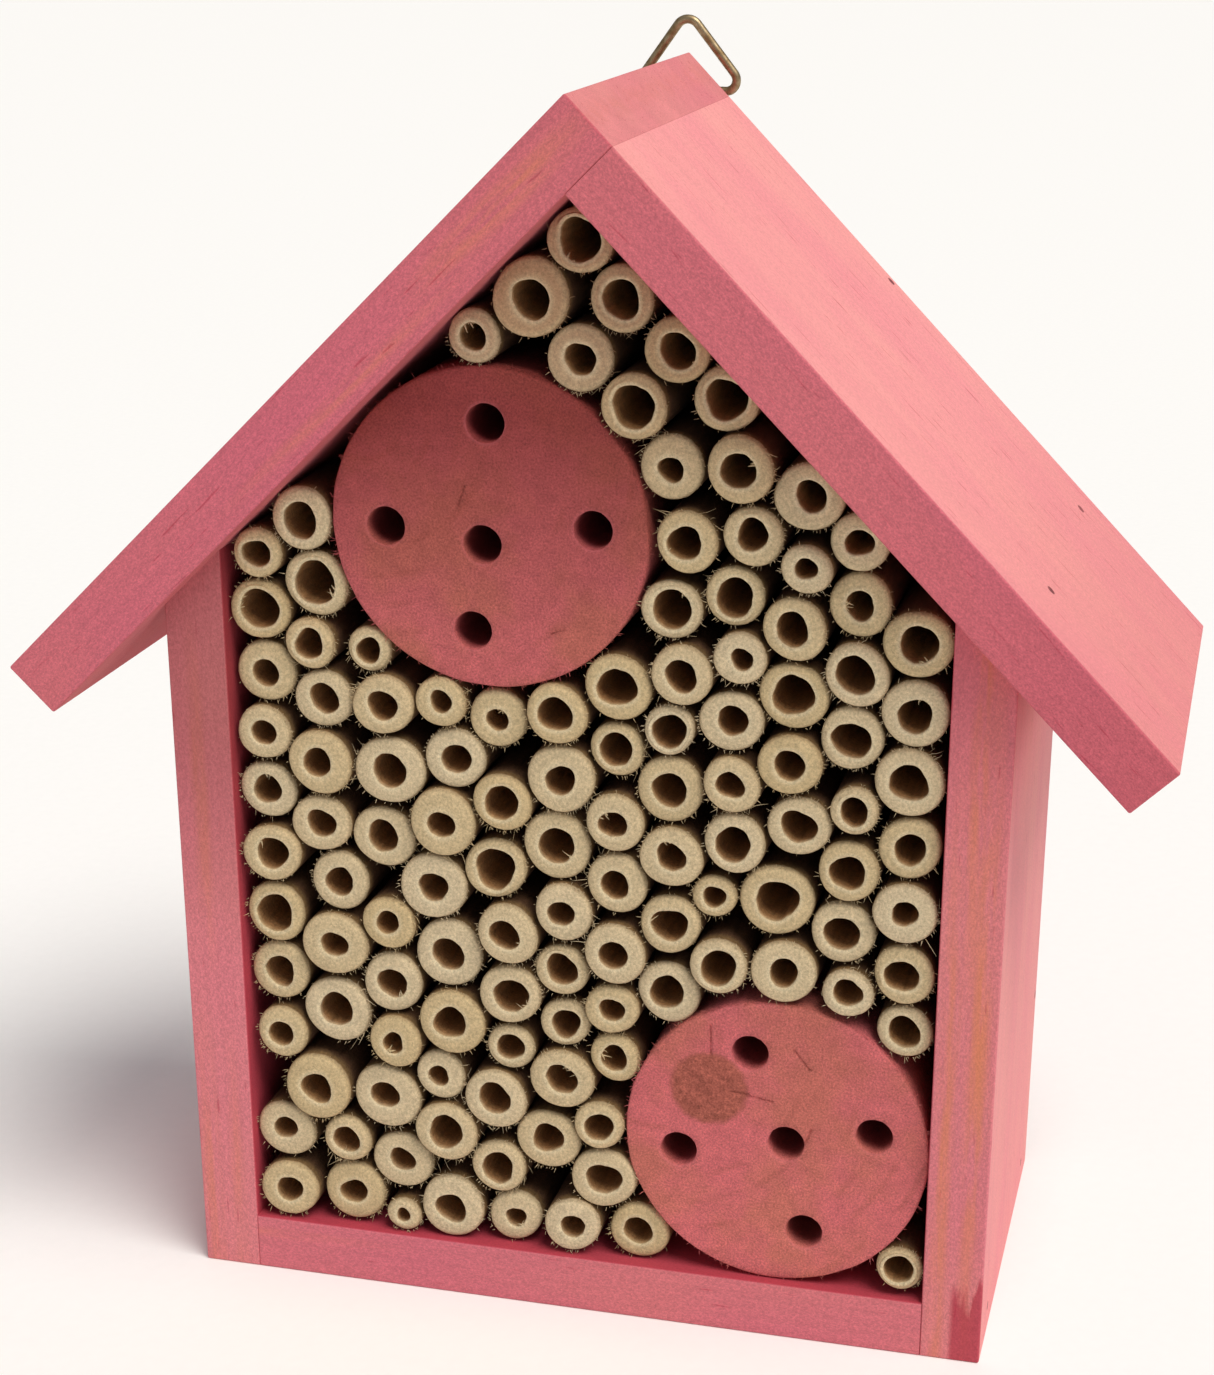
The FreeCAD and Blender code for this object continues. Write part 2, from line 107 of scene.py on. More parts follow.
class HotelCanes(bpy.types.PropertyGroup):
    """Shape and colours of the canes."""

    fibres: bpy.props.IntProperty(
        name="Fibres", description="Torn fibres round the end of a cane", default=40, min=0, max=80
    )
    fibre_length: bpy.props.FloatProperty(
        name="Fibre length", description="Length of a usual torn fibre", default=0.7 * MM, unit="LENGTH"
    )
    ovality: bpy.props.FloatProperty(
        name="Ovality", description="How far a cane is out of round", default=0.03, subtype="FACTOR"
    )
    cream: colour_setting("Cream", "Sawn end of a cane", "#d6c29f")
    straw: colour_setting("Straw", "Sawn end of a riper cane", "#cdb58a")
    pith: colour_setting("Pith", "Pale skin round the bore", "#ecdcb8")
    bore: colour_setting("Bore", "Inside of a cane", "#a67c52")
    # rind is the skin's own brown, made darker in part as painted shade between the canes
    rind: colour_setting("Rind", "Outside of a cane, next to its sawn end", "#7d6240")
    # gap_shade is painted shade on the canes' sides, deeper in the gaps between them
    gap_shade: colour_setting("Dust", "Outside of a cane, further in", "#604430")
    # roof_shade_and_bounce is painted shade and red bounce light from the roof, on the top canes
    roof_shade_and_bounce: colour_setting("Blushed", "Canes that the roof's stain ran onto", "#9a6246")


class HotelLight(bpy.types.PropertyGroup):
    """Studio light."""

    key: bpy.props.FloatProperty(
        name="Key", description="Soft light from above on the right, in watts per square metre", default=2.6
    )
    sky: bpy.props.FloatProperty(
        name="Sky", description="Strength of the pale surroundings above", default=0.33
    )
    horizon: bpy.props.FloatProperty(
        name="Horizon", description="Their strength low down, as pale as the paper", default=0.95
    )
    key_colour: colour_setting("Key colour", "Warm white of the soft light", "#fffaf3")
    sky_colour: colour_setting("Sky colour", "Cool white of the surroundings", "#f6f8fc")
    paper: colour_setting("Paper", "Background paper", "#fcfcfb")


# ---- small helpers ----
SMOOTH = {"interpolation_type": "SMOOTHSTEP"}
COLOUR = {"data_type": "RGBA"}
TINT = {"data_type": "RGBA", "blend_type": "MULTIPLY"}


def node(tree, kind, inputs, output=0, **settings):
    """Add a shader node, set or link its inputs by name or number, and give one of its outputs."""
    made = tree.nodes.new("ShaderNode" + kind)
    for name, value in settings.items():
        setattr(made, name, value)
    for key, value in inputs.items():
        if isinstance(value, bpy.types.NodeSocket):
            tree.links.new(value, made.inputs[key])
        else:
            made.inputs[key].default_value = value
    return made.outputs[output]


def opaque(colour):
    """A colour with an alpha of one, as colour sockets take it."""
    return (*colour, 1.0)


def new_material(name):
    """A material with nothing in it yet: its node tree, and the Object coordinates."""
    material = bpy.data.materials.new(name)
    material.use_nodes = True
    tree = material.node_tree
    tree.nodes.clear()
    return material, tree, node(tree, "TexCoord", {}, "Object")


def surface(tree, colour, roughness, height, depth, gloss=0.5, metallic=0.0):
    """Finish a material: its colour, roughness and relief, where a height of 1 stands for depth in metres."""
    shader = node(tree, "BsdfPrincipled", {
        "Base Color": colour,
        "Roughness": roughness,
        "Normal": node(tree, "Bump", {"Height": height, "Distance": depth, "Strength": 1.0}),
        "Specular IOR Level": gloss,
        "Metallic": metallic,
    })
    end = tree.nodes.new("ShaderNodeOutputMaterial")
    tree.links.new(shader, end.inputs["Surface"])


def grains(tree, place, sizes, detail=3.0, rough=0.55):
    """Blotches of these sizes in mm along x, y and z, as a value from 0 to 1."""
    scale = [1 / (size * MM) for size in sizes]
    scaled = node(tree, "Mapping", {"Vector": place, "Scale": scale})
    return node(tree, "TexNoise", {"Vector": scaled, "Scale": 1.0, "Detail": detail, "Roughness": rough})


def shaded(tree, colour, value, low, high):
    """A colour made darker or lighter: blotches from 0 to 1 stand for a factor from low to high."""
    factor = node(tree, "MapRange", {0: value, 1: 0.25, 2: 0.75, 3: low, 4: high})
    grey = node(tree, "CombineColor", {0: factor, 1: factor, 2: factor})
    return node(tree, "Mix", {0: 1.0, 6: colour, 7: grey}, 2, **TINT)


def band(tree, value, centre, half_width):
    """One in the middle of a band of this value, falling to nothing at its edges."""
    off = node(tree, "Math", {0: value, 1: centre}, operation="SUBTRACT")
    off = node(tree, "Math", {0: off}, operation="ABSOLUTE")
    return node(tree, "MapRange", {0: off, 1: half_width, 2: 0.0}, **SMOOTH)


def year_rings(tree, place, spacing, distortion, direction):
    """Year rings round an axis, this many mm apart. The Wave node draws 20 bands to a length of 2 pi."""
    scale = math.tau / 20 / (spacing * MM)
    inputs = {"Vector": place, "Scale": scale, "Distortion": distortion, "Detail": 2.0, "Detail Scale": 0.15}
    return node(tree, "TexWave", inputs, "Fac", wave_type="RINGS", rings_direction=direction)


def paint(name, material):
    """Give a CAD node's object its material."""
    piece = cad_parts[name]
    piece.data.materials.clear()
    piece.data.materials.append(material)


def finish_piece(name, bm, material, stands_for):
    """Make an object of a bmesh, smooth it, and set it in the house in place of a CAD node."""
    mesh = bpy.data.meshes.new(name)
    bmesh.ops.recalc_face_normals(bm, faces=bm.faces)
    bm.to_mesh(mesh)
    bm.free()
    mesh.shade_smooth()
    mesh.materials.append(material)
    piece = bpy.data.objects.new(name, mesh)
    bpy.context.scene.collection.objects.link(piece)
    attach(piece, "house")
    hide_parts(stands_for)


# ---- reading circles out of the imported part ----
class Circle:
    """A round edge of a CAD node, in a plane that faces the front."""

    def __init__(self, edges):
        corners = [vert.co for edge in edges for vert in edge.verts]
        low_x, high_x = min(c.x for c in corners), max(c.x for c in corners)
        low_z, high_z = min(c.z for c in corners), max(c.z for c in corners)
        self.x = (low_x + high_x) / 2
        self.z = (low_z + high_z) / 2
        self.radius = (high_x - low_x) / 2


def circles_at(name, y):
    """The circles that a CAD node has in the plane at this y, widest first, and its corner points."""
    bm = bmesh.new()
    bm.from_mesh(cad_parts[name].data)
    bmesh.ops.remove_doubles(bm, verts=bm.verts, dist=SNAP)
    waiting = set()
    for edge in bm.edges:
        if all(abs(vert.co.y - y) < SNAP for vert in edge.verts) and edge.calc_face_angle(0.0) > FOLD:
            waiting.add(edge)
    found = []
    while waiting:
        chain = [waiting.pop()]
        for edge in chain:
            for vert in edge.verts:
                for other in vert.link_edges:
                    if other in waiting:
                        waiting.remove(other)
                        chain.append(other)
        found.append(Circle(chain))
    corners = [vert.co.copy() for vert in bm.verts]
    bm.free()
    return sorted(found, key=lambda circle: (-circle.radius, circle.z, circle.x)), corners


# ---- rings and torn fibres ----
def ring_out(bm, edges):
    """Draw a ring of edges out, and give its new edges and corners."""
    made = bmesh.ops.extrude_edge_only(bm, edges=edges)["geom"]
    verts = [item for item in made if isinstance(item, bmesh.types.BMVert)]
    inside = set(verts)
    edges = [item for item in made if isinstance(item, bmesh.types.BMEdge) and set(item.verts) <= inside]
    return edges, verts


SPIKE_RINGS = ((0.4, 0.85), (0.75, 0.6), (1.0, 0.2))      # how far along, and how wide there


def spike():
    """A straight fibre of unit length and width along z: three-sided, tapered and closed."""
    bm = bmesh.new()
    bmesh.ops.create_circle(bm, cap_ends=True, segments=3, radius=1.0)
    edges = list(bm.edges)
    for reach, width in SPIKE_RINGS:
        edges, verts = ring_out(bm, edges)
        narrower = width / math.hypot(verts[0].co.x, verts[0].co.y)
        for vert in verts:
            vert.co = Vector((vert.co.x * narrower, vert.co.y * narrower, reach))
    bmesh.ops.edgeloop_fill(bm, edges=edges)
    mesh = bpy.data.meshes.new("spike")
    bm.to_mesh(mesh)
    bm.free()
    return mesh


SPIKE = spike()


def fibre(bm, start, heading, length, width, bend, colour_zone):
    """A torn fibre: a copy of the spike that bends as it goes."""
    zone = bm.verts.layers.float["zone"]
    turn = heading.to_track_quat("Z", "Y")
    bm.from_mesh(SPIKE)
    bm.verts.ensure_lookup_table()
    for vert in bm.verts[-len(SPIKE.vertices):]:
        reach = vert.co.z
        local = Vector((vert.co.x * width, vert.co.y * width, reach * length))
        vert.co = start + turn @ local + bend * reach ** 2
        vert[zone] = colour_zone


# ---- boards ----
# sizes in mm, along the grain and across it both ways
CLOUD = (60.0, 22.0, 22.0)      # slow changes of tone
GRAIN = (45.0, 0.8, 0.8)        # fine streaks of planed pine
TUFT = (0.51, 0.34, 0.34)       # raised fibre under the stain, drawn coarser than it is so that it shows
FLECK = (8.0, 0.7, 0.7)         # short dark resin ducts
GAPS = (26.0, 2.2, 2.2)         # gaps in a streak of resin
RAGGED = (14.0, 2.4, 2.4)       # ragged top of the soaked corner
BLOT = (6.0, 6.0, 6.0)          # blots on end grain

RING_SPACING = 2.6              # mm, one year's growth
EDGE_BLEED = (0.6 * MM, 0.1 * MM)       # the front edge's colour fades in between these depths behind it
END_BLEED = (0.4 * MM, 0.1 * MM)        # and that of the end grain between these
INNER_SHADE_REACH = 0.3 * MM               # how far the painted shade of the inside, with its dark joint line, reaches onto an edge
WANDER = 30 * MM                # how far the start of a darker stretch wanders
CORNER_RISE = 24 * MM           # how far the soaked corner's ragged top climbs
CORNER_FADE = (6.0 * MM, 1.5 * MM)      # the heights over which it fades, without that climb
CORNER_SIDE = (75.2 * MM, 76.6 * MM)    # and how far from the middle of the house it starts

# resin streaks: middle across the board and half the width, start and end along it, in mm, and how bare
LEFT_SIDE_STREAKS = ((79.5, 3.2, -40, 70, 0.5), (74.0, 2.4, -20, 60, 0.4), (77.0, 2.6, 60, 150, 0.6))
RIGHT_SIDE_STREAKS = ((-78.6, 3.2, -30, 170, 1.0), (-72.8, 2.6, -60, 150, 0.9), (-75.8, 2.6, 50, 240, 1.0))
FLOOR_STREAKS = ((8.5, 1.6, -120, -30, 0.4),)
LEFT_ROOF_STREAKS = (
    (ROOF_FACE / MM - 5.0, 4.0, 120, 182, 0.8),
    (ROOF_FACE / MM - 8.5, 2.0, 60, 150, 0.5),
)


def resin_streak(tree, along, across, gaps, streak):
    """How much of the stain a streak of resin sheds."""
    middle, half_width, start, stop, bare = streak
    share = band(tree, across, middle * MM, half_width * MM)
    reach = band(tree, along, (start + stop) / 2 * MM, (stop - start) / 2 * MM)
    for factor in (reach, gaps, bare):
        share = node(tree, "Math", {0: share, 1: factor}, operation="MULTIPLY")
    return share


def soaked_corner(tree, board, along, across, is_front):
    """How dark the outer corner at the foot of the front edge is, where the board stood in the stain."""
    ragged = grains(tree, board, RAGGED)
    top = node(tree, "Math", {0: ragged, 1: -CORNER_RISE, 2: along}, operation="MULTIPLY_ADD")
    share = node(tree, "MapRange", {0: top, 1: CORNER_FADE[0], 2: CORNER_FADE[1]}, **SMOOTH)
    outer = node(tree, "MapRange", {0: across, 1: -CORNER_SIDE[0], 2: -CORNER_SIDE[1]}, **SMOOTH)
    for factor in (outer, is_front, 0.75):
        share = node(tree, "Math", {0: share, 1: factor}, operation="MULTIPLY")
    return share


def stained_pine(
    name, stain, turn, pith, front, inner, streaks=(), paler=0.0, soaked=None, end_at=None, corner=False
):
    """Planed pine under one thin coat of water stain: matt, with faint grain and a raised, felty fibre.

    turn is the angle about Y that lays the grain along x; pith is the place of the tree's middle across it,
    in metres. The narrow front edge of a board, up to front, is darker than its broad faces: partly it took
    more stain, partly this is painted shade of the front faces; paler makes it less so. The face towards the
    inside, at inner across, is darkest: painted shade of the inside, with a dark joint line at its edge.
    soaked is where along the board it starts and stops getting darker in mm, by how much, and the colour that
    it nears: on the side boards this is painted shade under the roof, on the right roof it took more stain.
    Past end_at along the board its end grain shows, and corner soaks the outer corner at its foot.
    """
    material, tree, place = new_material(name)
    board = node(tree, "Mapping", {"Vector": place, "Rotation": (0, turn, 0)})
    along, depth, across = node(tree, "SeparateXYZ", {0: board}).node.outputs

    cloudy = grains(tree, board, CLOUD, 2.0)
    share = node(tree, "MapRange", {0: cloudy, 1: 0.15, 2: 0.85}, **SMOOTH)
    tufts = grains(tree, board, TUFT, 3.0, 0.8)
    broad = node(tree, "Mix", {0: share, 6: opaque(stain.blush), 7: opaque(stain.salmon)}, 2, **COLOUR)
    # the front faces are darker than the broad ones: partly more stain, partly painted shade
    narrow = node(tree, "Mix", {0: share, 6: opaque(stain.rose), 7: opaque(stain.coral)}, 2, **COLOUR)
    narrow = node(tree, "Mix", {0: paler, 6: narrow, 7: broad}, 2, **COLOUR)
    narrow = shaded(tree, narrow, tufts, 0.86, 1.12)
    ends = {1: front + EDGE_BLEED[0], 2: front + EDGE_BLEED[1]}
    is_front = node(tree, "MapRange", {0: depth, **ends}, **SMOOTH)
    colour = node(tree, "Mix", {0: is_front, 6: broad, 7: narrow}, 2, **COLOUR)

    heart = node(tree, "Mapping", {"Vector": board, "Location": (0, *pith)})
    colour = shaded(tree, colour, year_rings(tree, heart, RING_SPACING, 6.0, "X"), 1.01, 0.985)
    fine = grains(tree, board, GRAIN, 4.0, 0.6)
    colour = shaded(tree, colour, fine, 0.97, 1.03)

    gaps = node(tree, "MapRange", {0: grains(tree, board, GAPS), 1: 0.3, 2: 0.62}, **SMOOTH)
    tints = [(resin_streak(tree, along, across, gaps, streak), stain.amber) for streak in streaks]
    flecks = node(tree, "MapRange", {0: grains(tree, board, FLECK, 1.0), 1: 0.68, 2: 0.78, 4: 0.5}, **SMOOTH)
    tints.append((flecks, stain.wine))
    # painted shade on the inner faces: the roof's underside, the floor's top under the canes and the sides'
    # inner faces, with a dark joint line at their edges
    inner_shade_and_joint = node(tree, "Math", {0: band(tree, across, inner, INNER_SHADE_REACH), 1: 0.9}, operation="MULTIPLY")
    tints.append((inner_shade_and_joint, stain.wine))
    # on the side boards this darker stretch near the top is painted shade under the roof
    if soaked is not None:
        start, stop, strength, darkest = soaked
        uneven = node(tree, "Math", {0: cloudy, 1: WANDER, 2: along}, operation="MULTIPLY_ADD")
        darker = node(tree, "MapRange", {0: uneven, 1: start * MM, 2: stop * MM, 4: strength}, **SMOOTH)
        tints.append((darker, darkest))
    if corner:
        tints.append((soaked_corner(tree, board, along, across, is_front), stain.wine))
    for share, tint in tints:
        colour = node(tree, "Mix", {0: share, 6: colour, 7: opaque(tint)}, 2, **COLOUR)

    if end_at is not None:
        end = node(tree, "MapRange", {0: along, 1: end_at - END_BLEED[0], 2: end_at - END_BLEED[1]}, **SMOOTH)
        thirsty = node(tree, "Mix", {0: 0.30, 6: colour, 7: opaque(stain.wine)}, 2, **COLOUR)
        thirsty = shaded(tree, thirsty, grains(tree, board, BLOT), 0.92, 1.04)
        colour = node(tree, "Mix", {0: end, 6: colour, 7: thirsty}, 2, **COLOUR)

    colour = shaded(tree, colour, tufts, 0.8, 1.18)
    rough = node(tree, "MapRange", {0: fine, 1: 0.2, 2: 0.8, 3: 0.7, 4: 0.86})
    height = node(tree, "Math", {0: tufts, 1: 0.8, 2: fine}, operation="MULTIPLY_ADD")
    surface(tree, colour, rough, height, 0.05 * MM, gloss=0.25)
    return material


def stained_plywood(stain):
    """Birch plywood under the same stain: flatter and paler than the pine, with short flecks."""
    material, tree, place = new_material("stained_birch_plywood")
    flecks = grains(tree, place, (0.5, 1.0, 9.0))
    cloudy = grains(tree, place, (26.0, 26.0, 80.0), 3.0)
    share = node(tree, "MapRange", {0: cloudy, 1: 0.0, 2: 0.7}, **SMOOTH)
    colour = node(tree, "Mix", {0: share, 6: opaque(stain.coral), 7: opaque(stain.blush)}, 2, **COLOUR)
    colour = shaded(tree, colour, flecks, 0.82, 1.1)
    rough = node(tree, "MapRange", {0: flecks, 1: 0.2, 2: 0.8, 3: 0.66, 4: 0.8})
    surface(tree, colour, rough, flecks, 0.06 * MM, gloss=0.3)
    return material


class HOTEL_OT_boards(bpy.types.Operator):
    """Stain the six boards, each with its grain along its length"""

    bl_idname = "hotel.boards"
    bl_label = "Stain Boards"

    def execute(self, context):
        stain = context.scene.hotel_stain
        upright = math.radians(90)
        roof_front = LEFT_ROOF_LOW.y
        roof_inner = ROOF_FACE - BOARD
        # soaked darkens each side board towards its top: painted shade under the roof
        paint("side_board_left", stained_pine(
            "stained_pine_left_side", stain, upright, (0.03, 0.055), SIDE_LOW.y, SIDE_LOW.x,
            LEFT_SIDE_STREAKS, paler=0.4, soaked=(78, 138, 0.45, stain.shade_brown),
        ))
        paint("side_board_right", stained_pine(
            "stained_pine_right_side", stain, upright, (0.02, 0.12), SIDE_LOW.y, -SIDE_LOW.x,
            RIGHT_SIDE_STREAKS, paler=0.35, soaked=(112, 180, 0.42, stain.wine), corner=True,
        ))
        paint("floor_board", stained_pine(
            "stained_pine_floor", stain, 0.0, (0.03, -0.05), SIDE_LOW.y, FLOOR_TOP, FLOOR_STREAKS, paler=0.15,
        ))
        paint("roof_board_left", stained_pine(
            "stained_pine_left_roof", stain, PITCH, (0.02, -0.2), roof_front, roof_inner,
            LEFT_ROOF_STREAKS, end_at=RIDGE * math.sin(PITCH),
        ))
        paint("roof_board_right", stained_pine(
            "stained_pine_right_roof", stain, -PITCH, (0.035, -0.21), roof_front, roof_inner,
            soaked=(-90, 15, 0.25, stain.wine),
        ))
        paint("back_panel", stained_plywood(stain))
        return {"FINISHED"}


# ---- logs ----
LOG_RIM = 0.5 * MM          # rounding of a log's front edge
HOLE_RIM = 0.22 * MM        # broken edge of a drilled hole
LOG_SEGMENTS = 132
HOLE_SEGMENTS = 30
LOG_UNEVEN = 0.004          # how far a log is out of round, as a share of its radius
HOLE_UNEVEN = 0.03
LUMPS_ROUND = 6             # how fast that changes with the direction
FACE_MESH = 1.5 * MM        # size of a triangle on the sawn face
CRACK_MESH = 0.35 * MM      # and next to a crack
REFINE_PASSES = 7
CRACK_HALF = 0.26 * MM
CRACK_DEPTH = 0.55 * MM
SAW_ROUGH = 0.1 * MM
SAW_MARKS = (0.5, 2.4)      # radians per mm along x and z, over the saw's marks
RIM_LUMPS = 700             # lumps per metre round an edge, over the face and in the knot
FACE_LUMPS = 260
KNOT_LUMPS = 1500
KNOT_PLACE = (-13.6, 10.6)  # mm, from the lower log's axis
KNOT_RADIUS = 7.4           # mm
LOG_FIBRES = 240
LOG_FADE = 22 * MM          # painted shade: a log gets darker towards its top, under the roof, over this far either way
FACE_ZONE = 0.5             # what the mesh carries for colour: 0.1 at a hole, 0.9 at the log's own edge
LOG_BLOTS = (19.0, 40.0, 19.0)      # mm, heartwood and sapwood
LOG_FELT = (0.42, 0.42, 0.42)       # mm, torn fibre ends, drawn coarser than they are so that they show
LOG_MOTTLE = (3.0, 3.0, 3.0)        # mm

# rings of a log's side and of a hole's wall behind the sawn face: metres out, metres back, zone of its colour
LOG_RINGS = ((-0.2 * MM, 0.12 * MM, 0.95), (0.0, 0.5 * MM, 1.1), (0.0, 4.0 * MM, 1.5))
HOLE_RINGS = ((0.12 * MM, 0.12 * MM, 0.0), (0.0, 0.5 * MM, -0.2), (0.0, 6.0 * MM, -0.6))

# a crack's start, in mm from the log's axis, its direction in degrees and its length in mm
UPPER_CRACKS = ((-4.5, 8.0, 250, 4.0), (12.0, -19.0, 20, 2.5))
LOWER_CRACKS = (
    (-13.4, 17.8, 91, 6.5),
    (-6.6, 10.0, -8, 6.0),
    (-9.0, 10.4, -3, 3.5),
    (3.2, 21.0, -52, 5.0),
    (7.0, 4.0, 250, 5.5),
)


def distance_to_crack(point, crack):
    """How far a point (x, z) is from a crack, all in metres."""
    start, direction, length = crack
    reach = min(max((point - start).dot(direction), 0.0), length)
    return (point - start - direction * reach).length


def placed_cracks(centre, cracks):
    """Cracks as a start point, a direction and a length, in metres."""
    placed = []
    for x, z, angle, length in cracks:
        turn = math.radians(angle)
        start = Vector((centre.x + x * MM, centre.z + z * MM))
        placed.append((start, Vector((math.cos(turn), math.sin(turn))), length * MM))
    return placed


def refine_face(bm, cracks):
    """Divide the sawn face until its triangles are small, and smallest along the cracks."""
    for _ in range(REFINE_PASSES):
        long_edges = []
        for edge in bm.edges:
            if edge.is_boundary:
                continue
            middle = (edge.verts[0].co + edge.verts[1].co) / 2
            near = min(distance_to_crack(Vector((middle.x, middle.z)), crack) for crack in cracks)
            wanted = CRACK_MESH if near < 2 * CRACK_HALF else FACE_MESH
            if edge.calc_length() > wanted * 1.4:
                long_edges.append(edge)
        if not long_edges:
            break
        bmesh.ops.subdivide_edges(bm, edges=long_edges, cuts=1)
        bmesh.ops.triangulate(bm, faces=bm.faces)
        bmesh.ops.beautify_fill(bm, faces=bm.faces, edges=[edge for edge in bm.edges if not edge.is_boundary])


def face_ring(bm, circle, radius, segments, y, seed, colour_zone):
    """A slightly uneven round edge of the sawn face, as a list of edges."""
    zone = bm.verts.layers.float["zone"]
    turned = Matrix.Translation((circle.x, y, circle.z)) @ FACING_FRONT
    verts = bmesh.ops.create_circle(bm, segments=segments, radius=radius, matrix=turned)["verts"]
    for vert in verts:
        wobble = noise.noise(Vector((vert.co.x * RIM_LUMPS, seed, vert.co.z * RIM_LUMPS))) * SAW_ROUGH
        vert.co += Vector((vert.co.x - circle.x, 0, vert.co.z - circle.z)).normalized() * wobble
        vert[zone] = colour_zone
    return list(dict.fromkeys(edge for vert in verts for edge in vert.link_edges))


def roughen_face(bm, outside, cracks, knot, seed, edges):
    """Lumps, saw marks, a sunken knot and open cracks on the sawn face, away from its round edges."""
    zone = bm.verts.layers.float["zone"]
    fixed = {vert for edge in edges for vert in edge.verts}
    knot_middle = Vector((outside.x + KNOT_PLACE[0] * MM, outside.z + KNOT_PLACE[1] * MM))
    for vert in bm.verts:
        if vert in fixed:
            continue
        vert[zone] = FACE_ZONE
        point = Vector((vert.co.x, vert.co.z))
        spot = Vector((point.x * FACE_LUMPS, seed, point.y * FACE_LUMPS))
        lift = noise.fractal(spot, 1.0, 2.0, 3) * SAW_ROUGH
        marks = math.sin(point.y / MM * SAW_MARKS[1] + point.x / MM * SAW_MARKS[0])
        lift += marks * SAW_ROUGH * 0.15
        if knot and (point - knot_middle).length < KNOT_RADIUS * MM:
            lumps = noise.noise(Vector((point.x * KNOT_LUMPS, seed, point.y * KNOT_LUMPS)))
            lift -= SAW_ROUGH * (1.2 + lumps)
        near = min(distance_to_crack(point, crack) for crack in cracks)
        depth = max(0.0, 1 - near / CRACK_HALF) * CRACK_DEPTH
        vert.co.y += max(lift, -SAW_ROUGH) + SAW_ROUGH + depth


def draw_back(bm, edges, circle, front, steps, unevenness):
    """Draw a round edge of the face back ring by ring, each uneven in its own way, and close the last."""
    zone = bm.verts.layers.float["zone"]
    for grow, depth, colour_zone in steps:
        edges, verts = ring_out(bm, edges)
        radius = circle.radius + grow
        for vert in verts:
            out = Vector((vert.co.x - circle.x, vert.co.z - circle.z)).normalized()
            lumps = noise.noise(Vector((*(out * LUMPS_ROUND), circle.x * 900 + radius * 300)))
            reach = radius * (1 + unevenness * lumps)
            vert.co = Vector((circle.x + out.x * reach, front + depth, circle.z + out.y * reach))
            vert[zone] = colour_zone
    bmesh.ops.edgeloop_fill(bm, edges=edges)


def fray_log(bm, outside, front, chance):
    """Short torn fibres round the sawn edge of a log."""
    for _ in range(LOG_FIBRES):
        angle = chance.uniform(0, math.tau)
        out = Vector((math.cos(angle), 0, math.sin(angle)))
        start = Vector((outside.x, front, outside.z)) + out * (outside.radius - 0.15 * MM)
        start.y += chance.uniform(0.1, 0.9) * MM
        stray = Vector((chance.gauss(0, 0.6), chance.gauss(-0.4, 0.4), chance.gauss(0, 0.6)))
        bend = Vector((chance.gauss(0, 0.2), 0, chance.gauss(0, 0.2))) * MM
        length = chance.uniform(0.4, 1.3) * MM
        width = chance.uniform(0.05, 0.09) * MM
        fibre(bm, start, (out + stray).normalized(), length, width, bend, 1.0)


def sawn_log(name, cad_name, cracks, knot, material, seed):
    """A log with an uneven sawn face, broken edges round its drilled holes, and open cracks."""
    low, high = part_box(cad_name)
    circles, corners = circles_at(cad_name, low.y)
    outside, holes = circles[0], circles[1:]
    hole_end = max(corner.y for corner in corners if corner.y < high.y - MM)
    bm = bmesh.new()
    bm.verts.layers.float.new("zone")
    rim = face_ring(bm, outside, outside.radius - LOG_RIM, LOG_SEGMENTS, low.y, seed, 0.9)
    mouths = [face_ring(bm, hole, hole.radius + HOLE_RIM, HOLE_SEGMENTS, low.y, seed, 0.1) for hole in holes]
    bmesh.ops.triangle_fill(bm, use_beauty=True, edges=bm.edges)
    placed = placed_cracks(outside, cracks)
    refine_face(bm, placed)
    roughen_face(bm, outside, placed, knot, seed, rim + [edge for mouth in mouths for edge in mouth])
    draw_back(bm, rim, outside, low.y, (*LOG_RINGS, (0.0, high.y - low.y, 2.0)), LOG_UNEVEN)
    for hole, mouth in zip(holes, mouths):
        draw_back(bm, mouth, hole, low.y, (*HOLE_RINGS, (0.0, hole_end - low.y, -1.0)), HOLE_UNEVEN)
    fray_log(bm, outside, low.y, random.Random(int(seed)))
    finish_piece(name, bm, material, cad_name)


def knot_shares(tree, place, local):
    """How far a spot lies in the knot, and in the halo round it."""
    middle = (-KNOT_PLACE[0] * MM, 0, -KNOT_PLACE[1] * MM)
    centred = node(tree, "Mapping", {"Vector": local, "Location": middle, "Scale": (1, 0, 1)})
    off = node(tree, "VectorMath", {0: centred}, "Value", operation="LENGTH")
    frayed = grains(tree, place, (2.0, 2.0, 2.0))
    ragged = node(tree, "Math", {0: frayed, 1: 1.8 * MM, 2: off}, operation="MULTIPLY_ADD")
    ends = {1: (KNOT_RADIUS + 1.5) * MM, 2: (KNOT_RADIUS + 0.5) * MM}
    halo = band(tree, ragged, (KNOT_RADIUS + 1.1) * MM, 0.9 * MM)
    halo = node(tree, "Math", {0: halo, 1: 0.5}, operation="MULTIPLY")
    return node(tree, "MapRange", {0: ragged, **ends}, **SMOOTH), halo


